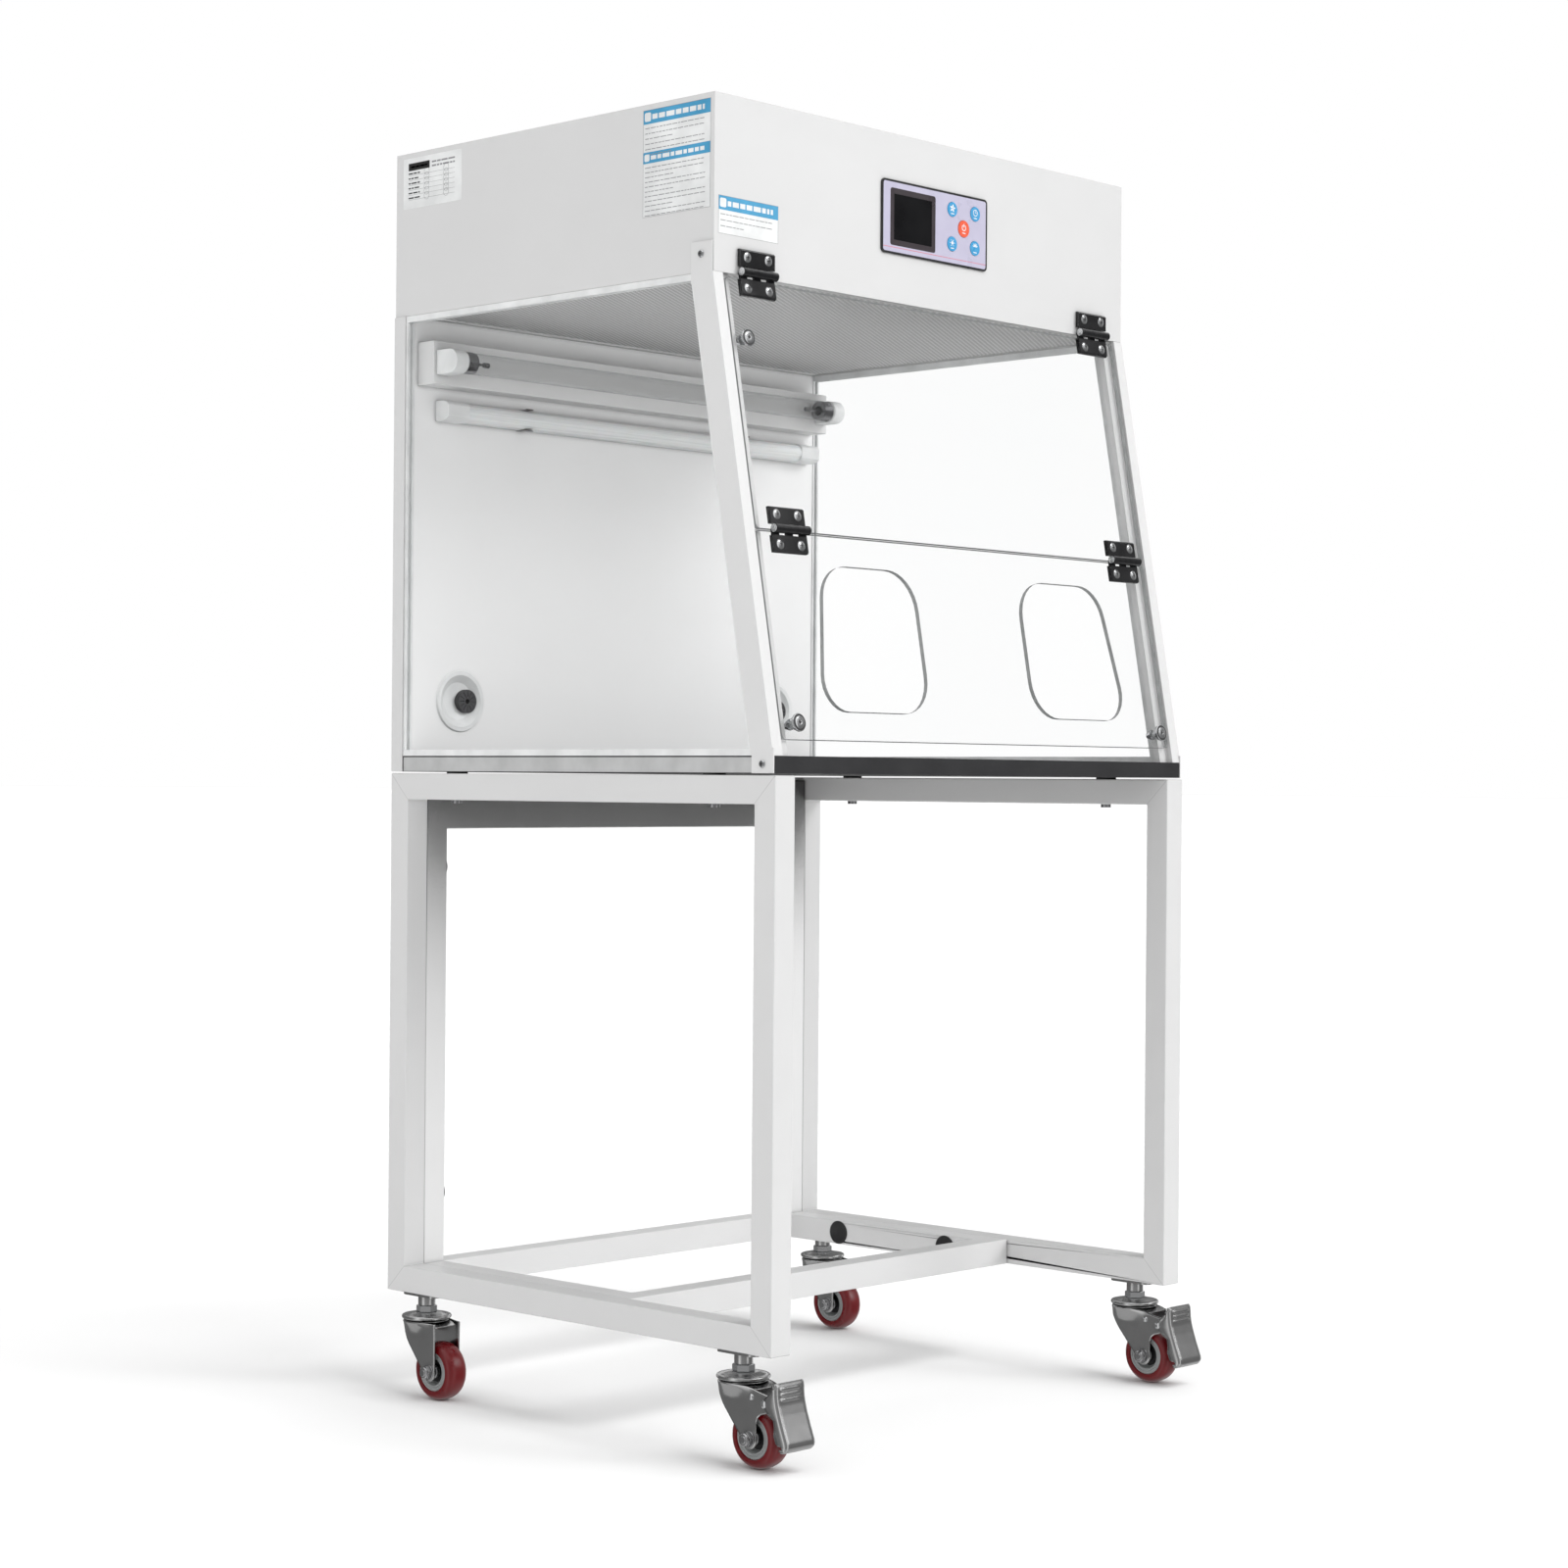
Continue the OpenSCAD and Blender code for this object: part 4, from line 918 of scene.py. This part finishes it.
def lamp_holders():
    """Push-fit lampholders: a block on the fixture, rounded round the lamp's end, with a lighter rim."""
    low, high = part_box("uv_sockets")
    lamp_low, lamp_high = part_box("uv_lamp")
    reach = (high[1] - (lamp_low[1] + lamp_high[1]) / 2) / MM
    length = (high[0] - low[0]) / MM
    half = 14
    outline = ([(reach, -half)] + [(half * math.cos(a), half * math.sin(a))
                                   for a in [math.radians(270 - 180 * i / 18) for i in range(19)]] + [(reach, half)])
    shape = Shape()
    for start, way in ((0, 1), (length, -1)):
        ends = sorted((start, start + way * 18))
        shape.prism(outline, ends[0], ends[1], WHITE_MOULDING)
        inner = start + way * 18
        shape.tube([(13.4, inner), (13.4, inner + way * 1.6), (12.9, inner + way * 2.2), (10.5, inner + way * 2.2),
                    (10.5, inner)],
                   GREY_TRIM, steps=36)
    centre = Vector((low[0], (lamp_low[1] + lamp_high[1]) / 2, (lamp_low[2] + lamp_high[2]) / 2))
    made = shape.done("lamp_holders", placed(centre, Y, Z), ROOT, "white_plastic", bevel=1)
    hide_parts("uv_sockets")


lamp_holders()
batten_fittings()


# ---- casters

TYRE = moulded("tyre_red", (0.14, 0.0015, 0.004), 0.3, 420, 0.03, coat=0.12)
HUB = moulded("hub_grey", (0.27, 0.28, 0.28), 0.42, 900, 0.08)
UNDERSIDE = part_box("left_side_frame")[0][2]
WHEEL_HALF = 14
WHEEL_R = 33
AXLE = (-26, WHEEL_R - 118)
PIVOT = (-50, -46)


def caster_place(corner):
    """A caster's local millimetres, from its stem's axis at the underside of the stand."""
    x, y, _ = JOINTS[corner + "_swivel_turn"]["pos_m"]
    return Matrix.Translation((x, y, UNDERSIDE)) @ Matrix.Scale(MM, 4)


def wheel_pieces(corner):
    """Tyre with a domed tread on a stepped hub, with a dark seal and a steel spacer inside."""
    place = placed(JOINTS[corner + "_wheel_roll"]["pos_m"], Y, Z)
    body = corner + "_roller"
    steps = 22
    tread = []
    for i in range(steps + 1):
        a = -math.pi / 2 + math.pi * i / steps
        tread.append((23 + 10 * math.cos(a) ** 0.72, WHEEL_HALF * math.copysign(abs(math.sin(a)) ** 0.8, a)))
    tyre = Shape()
    tyre.tube([(22.2, -12.6)] + tread + [(22.2, 12.6)], TYRE, steps=64)
    made = tyre.done(corner + "_tyre", place, body, "wheel_rubber", sharp=50)
    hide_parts(corner + "_wheel")
    hub = Shape()
    side = [(22.2, 12.4), (21.6, 12.9), (19.6, 12.9), (19, 12.2), (18.2, 12.2), (17.6, 12.9), (16, 12.6),
            (14.4, 9), (13.6, 5), (12.6, 4), (8.2, 4)]
    hub.tube(side + [(r, -h) for r, h in reversed(side)], HUB, steps=64)
    hub.done(corner + "_hub", place, body, "grey_trim", sharp=28)
    seal = Shape()
    for way in (-1, 1):
        seal.tube([(12.4, way * 4.1), (12.4, way * 6), (11.6, way * 6.6), (8.4, way * 6.6), (8.4, way * 4.1)], BLACK,
                  steps=48)
        seal.tube([(8.2, way * 4), (8.2, way * 12.6), (7.4, way * 13.6), (4.3, way * 13.6), (4.3, way * 4)], BOLT_STEEL,
                  steps=40)
    seal.done(corner + "_bearing", place, body, "black_plastic")


def between(points, value):
    """Straight-line interpolation in a list of (input, output) pairs sorted by falling input."""
    for (a, u), (b, v) in zip(points, points[1:]):
        if value >= b:
            return u + (v - u) * (a - value) / (a - b) if a != b else v
    return points[-1][1]


FORK_BOTTOM = [(27, -37), (23, -40), (16, -48), (-14, -83), (-18, -90), (-22, -94.5), (-27, -96),
               (-32, -94.5), (-36, -90)]
ARM_BOTTOM = [(-36.2, -68), (-38, -62.5), (-42, -58.5), (-49, -56.5), (-55, -53.5), (-58.5, -49), (-59.5, -45.5)]
ARM_TOP = [(27, -31), (-8, -31), (-26, -33), (-40, -36.5), (-52, -38.8), (-57, -41), (-59.5, -45)]
FORK_TOP = [(27, -31), (-8, -31), (-36, -31.8)]


CROWN_R, CHEEK_HALF, CHEEK_DROP = 27, 19, 16
FORK_TAIL = [(-10, 25), (-30, 19.5), (-80, CHEEK_HALF)]


def cheek_x(y, depth):
    """Half-width of the fork: round under the raceway and flat lower down. depth runs from 0 at the top to 1 there."""
    round_top = math.sqrt(max(CROWN_R ** 2 - y * y, 0)) if y > -10 else between(FORK_TAIL, y)
    flat = CHEEK_HALF if y < 8 else CHEEK_HALF * math.sqrt(max(1 - ((y - 8) / 19.3) ** 2, 0))
    blend = min(1, depth) ** 0.8
    return round_top * (1 - blend) + flat * blend


def fork_shell(braked):
    """Pressed fork: rows run round the shell from one edge to the other, and down from the crown to the lower edge."""
    bottom = FORK_BOTTOM + (ARM_BOTTOM if braked else [])
    top = ARM_TOP if braked else FORK_TOP
    ys = [-59.4, -58.6, -57, -55, -52, -49, -46, -43, -40, -38, -36.9, -36.2] if braked else []
    ys += [-35.9, -34, -31, -27, -23, -19, -15, -11, -6, -1, 4, 8, 12, 15.5, 18.5, 21, 23, 24.6, 25.8, 26.6, 27]
    columns = [(y, -1) for y in ys] + [(y, 1) for y in reversed(ys[:-1])]
    rows = []
    for v in [0, 0.06, 0.14, 0.24, 0.36, 0.5, 0.64, 0.78, 0.9, 1]:
        row = []
        for y, side in columns:
            high, low = between(top, y), between(bottom, y)
            z = high + (low - high) * v
            row.append((side * cheek_x(y, (high - z) / CHEEK_DROP), y, z))
        rows.append(row)
    shell = Shape()
    shell.loft(rows, ZINC, closed=False)
    lip = []
    for inset, rise in ((1, 0), (0.985, 0.9), (0.95, 1.5), (0.9, 1.7)):
        lip.append([(x * inset, y * inset if y > 0 else y, z + rise) for x, y, z in rows[0]])
    shell.loft(lip, ZINC, closed=False)
    return shell


def fork_pieces(corner):
    place = caster_place(corner)
    body = corner + "_swivel"
    braked = corner.startswith("front")
    made = fork_shell(braked).done(corner + "_fork_shell", place, body, "zinc", sharp=40, thickness=1.6)
    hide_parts(corner + "_fork")
    crown = Shape()
    front = [(-34, 11), (-33.4, 14.5), (-31.8, 17.5), (-29, 19.4)]
    outline = front + [(y, cheek_x(y, 0) * 0.95) for y in (-25, -20, -14, -10, -6, 0, 6, 12, 16, 19, 22, 24, 25.6)]
    rows = []
    for y, half in outline:
        z = min(between(ARM_TOP, y) + 1.3, -29.8)
        rows.append([(half * t, y, z) for t in (-1, -0.5, 0, 0.5, 1)]
                    + [(half * t, y, z - 1.5) for t in (1, 0.5, 0, -0.5, -1)])
    crown.loft(rows, ZINC, capped=True)
    crown.lathe([(5.4, -29.9), (5.4, -28.9), (24.5, -28.9), (25.5, -29.4), (25.5, -30)], ZINC, steps=56)
    crown.done(corner + "_crown", place, body, "zinc", bevel=0.4)
    axle = Shape()
    side_place = place @ Matrix.Translation((0, AXLE[0], AXLE[1])) @ Matrix.Rotation(math.pi / 2, 4, "Y")
    axle.lathe([(0, 17.1), (3.9, 17.1), (3.9, -17.1), (0, -17.1)], BOLT_STEEL)
    for side in (1, -1):
        axle.lathe([(r, side * h) for r, h in ((0, 18.8), (8.6, 18.8), (8.8, 19.4), (8.6, 20.2), (0, 20.2))],
                   BOLT_STEEL)
    axle.prism(circle(8.1, 6), 20.2, 24.6, BOLT_STEEL)
    axle.prism(circle(8.1, 6, start=0.3), -24.6, -20.2, BOLT_STEEL)
    axle.lathe([(6.6, -24.6), (6.8, -26), (5.6, -27.2), (3.9, -27.4), (3.6, -28), (0, -28)], BOLT_STEEL)
    axle.done(corner + "_axle_bolt", side_place, body, "zinc", bevel=0.35)
    if braked:
        rivets = Shape()
        for y, z, radius, reach in ((-30, -41.5, 3.6, 18.8), (*PIVOT, 4.6, 21.2)):
            for way in (-1, 1):
                rivets.lathe_x([(2.4, 17), (2.4, reach), (radius, reach), (radius * 0.95, reach + 1),
                                (radius * 0.7, reach + 2), (radius * 0.3, reach + 2.5), (0.01, reach + 2.6)],
                               CHROME, (0, y, z), way)
        rivets.done(corner + "_rivets", place, body, "zinc")


PEDAL_LINE = [(-63.6, -24.2), (-65.2, -26), (-65.8, -30), (-66.2, -38), (-67.6, -46), (-70.6, -56), (-74.6, -67),
              (-78.6, -77), (-81, -83), (-81.4, -86.6), (-79.6, -90.2), (-76, -92), (-72.6, -92.2)]
FLANGE_DEPTH = [(-24, 3), (-33, 5.5), (-40, 15), (-47, 20), (-54, 15), (-60, 7.5), (-68, 9),
                (-76, 13), (-83, 12.5), (-89, 7), (-92.5, 2.5)]


def pedal_line(count):
    """Evenly spread points and backward normals along the pedal's side curve."""
    spans = [math.dist(a, b) for a, b in zip(PEDAL_LINE, PEDAL_LINE[1:])]
    total = sum(spans)
    points = []
    for i in range(count):
        left = total * i / (count - 1)
        for (a, b), span in zip(zip(PEDAL_LINE, PEDAL_LINE[1:]), spans):
            if left <= span + 1e-9:
                t = left / span
                points.append((a[0] + (b[0] - a[0]) * t, a[1] + (b[1] - a[1]) * t))
                break
            left -= span
    for _ in range(4):
        points = [points[0]] + [tuple((p[k] + 2 * q[k] + r[k]) / 4 for k in (0, 1))
                                for p, q, r in zip(points, points[1:], points[2:])] + [points[-1]]
    normals = []
    for i in range(count):
        a, b = points[max(i - 1, 0)], points[min(i + 1, count - 1)]
        length = math.dist(a, b)
        normals.append((-(b[1] - a[1]) / length, (b[0] - a[0]) / length))
    return list(zip(points, normals))


def pedal_pieces(corner):
    """Pressed brake pedal: a curved tread with three ribs, a rolled toe, and side flanges back to the pivot."""
    place = caster_place(corner)
    across = [-18.6, -16, -14.5, -13, -8, -3, 3, 8, 13, 14.5, 16, 18.6]
    rows = []
    for (y, z), (ny, nz) in pedal_line(110):
        depth = between(FLANGE_DEPTH, z)
        rib = sum(math.exp(-((z - centre) / 1.25) ** 2) for centre in (-29.5, -35, -40.5))
        row = []
        turn = max(min((z + 30) / 5, 1), min((-80 - z) / 8, 1), 0)
        for side_depth, x in ((depth, -21.2), (depth * 0.55, -21.2), (2.4, -21.2), (0.7, -20.5)):
            share = turn if side_depth > 2.5 else 1
            row.append((x, y + side_depth * (1 - share + share * ny), z + side_depth * share * nz))
        for x in across:
            lift = 1.25 * rib * (1 if abs(x) < 13.6 else 0.5 if abs(x) < 14.8 else 0)
            row.append((x, y - lift * ny, z - lift * nz))
        for x, y1, z1 in reversed(row[:4]):
            row.append((-x, y1, z1))
        rows.append(row)
    shape = Shape()
    shape.loft(rows, ZINC, closed=False)
    held = [row for row in rows if -84 < row[0][2] < -52]
    rims = [[row[0] for row in held], [row[-1] for row in held]]
    roll = Shape()
    for rim in rims:
        rings = []
        for i, point in enumerate(rim):
            run = (Vector(rim[min(i + 1, len(rim) - 1)]) - Vector(rim[max(i - 1, 0)])).normalized()
            other = run.cross(X).normalized()
            rings.append([Vector(point) + (X * math.cos(a) + other * math.sin(a)) * 1.4
                          for a in [math.tau * k / 12 for k in range(12)]])
        roll.loft(rings, ZINC, capped=True)
    roll.done(corner + "_pedal_rolled_rim", place, corner + "_brake", "zinc", sharp=60)
    made = shape.done(corner + "_pedal_tread", place, corner + "_brake", "zinc", sharp=60, thickness=-1.4)
    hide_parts(corner + "_pedal")


def caster_mount_set():
    """Plates, collars, hex nuts, domed raceways and kingpins that hold the four swivels."""
    place = Matrix.Translation((0, 0, UNDERSIDE)) @ Matrix.Scale(MM, 4)
    shape = Shape()
    for corner in CORNERS:
        x, y = (v / MM for v in JOINTS[corner + "_swivel_turn"]["pos_m"][:2])
        shape.prism([(x + u, y + v) for u, v in rounded_rectangle(-15, -28, 15, 28, 8)], -2.2, -0.01, ZINC)
        shape.tube([(6.2, -2.3), (9.4, -2.3), (9.8, -2.8), (9.8, -12.6), (9.4, -13.1), (6.2, -13.1)], ZINC, (x, y), 48)
        shape.loft([[(x + u * k, y + v * k, z) for u, v in circle(12, 6, start=0.2)]
                    for k, z in ((0.86, -13), (0.99, -13.9), (0.99, -20.2), (0.86, -21.2))], CHROME, capped=True)
        shape.tube([(5.2, -20.7), (13.4, -20.7), (15, -20.9), (18, -21.6), (21.5, -22.9), (24, -23.7), (25.4, -23.7),
                    (26.8, -23.5), (27.8, -24.1), (28.4, -25.3), (28.2, -26.6), (27.3, -27.6), (25.8, -28.1),
                    (5.2, -28.1)],
                   ZINC, (x, y), 72)
        shape.lathe([(0, -28), (5, -28), (5, -33.5), (8, -33.5), (8, -37), (7.5, -37.5), (0, -37.5)], ZINC, (x, y), 40)
        shape.lathe([(0, 0.01), (6, 0.01), (6, 23), (5.2, 24), (0, 24)], ZINC, (x, y), 32)
    made = shape.done("caster_mount_set", place, ROOT, "chrome", sharp=28)
    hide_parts("caster_mounts")


caster_mount_set()
for corner in CORNERS:
    wheel_pieces(corner)
    fork_pieces(corner)
for corner in FRONT_CORNERS:
    pedal_pieces(corner)


# ---- softened CAD edges

def soften(names, width, segments):
    """Rounds the sharp edges of folded, sawn or moulded CAD nodes without changing their meshes."""
    for name in names.split():
        part = NODES[name]
        modify(part, "weld", "WELD", merge_threshold=0.00001)
        modify(part, "soft_edges", "BEVEL", width=width * MM, segments=segments, limit_method="ANGLE",
               angle_limit=math.radians(40))
        modify(part, "flat_faces", "WEIGHTED_NORMAL", weight=100, keep_sharp=False)


soften("left_side_frame right_side_frame rear_inner_frame base_inner_frame", 1.4, 3)
soften("worktop", 1.2, 3)
soften("left_front_post right_front_post", 0.35, 2)
soften("uv_fixture", 0.8, 2)
soften("head_hinge_leaves upper_sash_leaves lower_sash_leaves", 0.45, 2)


# ---- floor, light and camera

def stage_floor():
    bpy.ops.mesh.primitive_plane_add(size=400)
    floor = bpy.context.object
    floor.name = "floor"
    floor.visible_glossy = False
    g = Graph("studio_floor")
    g.set(Base_Color=g.mix(g.noise(1.2), grey(0.64), grey(0.65)), Roughness=0.9)
    g.shader.inputs["Specular IOR Level"].default_value = 0.1
    floor.data.materials.append(g.material)
    return floor


def reflected_studio():
    """Grey cloth round and under the set, seen only in reflections: dark walls with soft bright strips."""
    radius, low, high = 5, -3, 4.6
    bm = bmesh.new()
    rows = [[bm.verts.new((radius * x, radius * y, height)) for x, y in circle(1, 96)] for height in (low, high)]
    for i in range(96):
        j = (i + 1) % 96
        bm.faces.new((rows[0][i], rows[0][j], rows[1][j], rows[1][i]))
    bm.faces.new(rows[0])
    mesh = bpy.data.meshes.new("reflected_studio")
    bm.to_mesh(mesh)
    bm.free()
    g = Graph("grey_cloth")
    flat = g.vector("NORMALIZE", g.vector("MULTIPLY", g.position, (1, 1, 0)))
    level = g.times(g.noise(2, 2), 0.1)
    for azimuth, strength, width in ((-88, 0.9, 60), (4, 0.7, 40), (178, 0.8, 30), (-140, 0.12, 4)):
        toward = (math.cos(math.radians(azimuth)), math.sin(math.radians(azimuth)), 0)
        near = g.math("POWER", g.math("MAXIMUM", g.dot(flat, toward), 0), width)
        level = g.plus(level, g.times(near, strength))
    level = g.plus(level, 0.15)
    below = g.below(g.axes()[2], low + 0.01)
    glow = g.add("ShaderNodeEmission")
    g.link(g.math("MAXIMUM", level, g.times(below, 0.5)), glow.inputs["Strength"])
    g.link(glow.outputs[0], g.output.inputs["Surface"])
    mesh.materials.append(g.material)
    cloth = add_object("reflected_studio", mesh)
    for kind in ("camera", "diffuse", "transmission", "volume_scatter", "shadow"):
        setattr(cloth, "visible_" + kind, False)


def aim(holder, toward):
    holder.rotation_euler = Vector(toward).to_track_quat("-Z", "Y").to_euler()


def sun(name, energy, angle, toward):
    """A sun that shines toward a direction. angle is its width in degrees."""
    light = bpy.data.lights.new(name, "SUN")
    light.energy, light.angle = energy, math.radians(angle)
    holder = add_object(name, light)
    aim(holder, toward)
    return holder


def studio(floor):
    """White air all round, a broad soft key from the front right and a weak fill in the chamber. The floor has its own
    key, which only the frames and casters shade."""
    world = bpy.data.worlds.new("studio_air")
    world.use_nodes = True
    background = world.node_tree.nodes["Background"]
    background.inputs["Color"].default_value = (1, 1, 1, 1)
    background.inputs["Strength"].default_value = 1
    bpy.context.scene.world = world
    sun("key", 1.1, 26, (-2.4, 3.6, -2.3))
    floor_key = sun("floor_key", 2.4, 32, (-0.15, 1.6, -2.1))
    receivers = bpy.data.collections.new("floor_only")
    receivers.objects.link(floor)
    blockers = bpy.data.collections.new("floor_shadow_casters")
    frames = [NODES[name] for name in ("left_side_frame", "right_side_frame", "rear_inner_frame", "base_inner_frame")]
    for made in frames + [o for o in bpy.data.objects if o.name.startswith(CORNERS) and o not in NODES.values()]:
        blockers.objects.link(made)
    floor_key.light_linking.receiver_collection = receivers
    floor_key.light_linking.blocker_collection = blockers
    fill = bpy.data.lights.new("chamber_fill", "AREA")
    fill.shape = "RECTANGLE"
    fill.size, fill.size_y = 0.5, 0.26
    fill.energy = 0.42
    holder = add_object("chamber_fill", fill)
    holder.location = (0.06, -0.16, 0.93)
    aim(holder, (0, 1, -0.1))
    holder.visible_camera = holder.visible_glossy = holder.visible_transmission = False


def photo_camera():
    """The camera stands left of the front, level with the worktop, rolled by a trace."""
    yaw, roll, eye = 0.814, 0.008, (-2.6636, -2.4881, 0.7051)
    forward = Vector((math.sin(yaw), math.cos(yaw), 0))
    right = Vector((math.cos(yaw), -math.sin(yaw), 0))
    x_axis = right * math.cos(roll) + Z * math.sin(roll)
    y_axis = Z * math.cos(roll) - right * math.sin(roll)
    data = bpy.data.cameras.new("camera")
    data.sensor_width = 36
    data.lens = 71.76
    camera = add_object("camera", data)
    turn = Matrix((x_axis, y_axis, -forward)).transposed()
    camera.matrix_world = Matrix.Translation(eye) @ turn.to_4x4()
    bpy.context.scene.camera = camera


floor = stage_floor()
reflected_studio()
studio(floor)
photo_camera()
bpy.context.scene.view_settings.view_transform = "Standard"
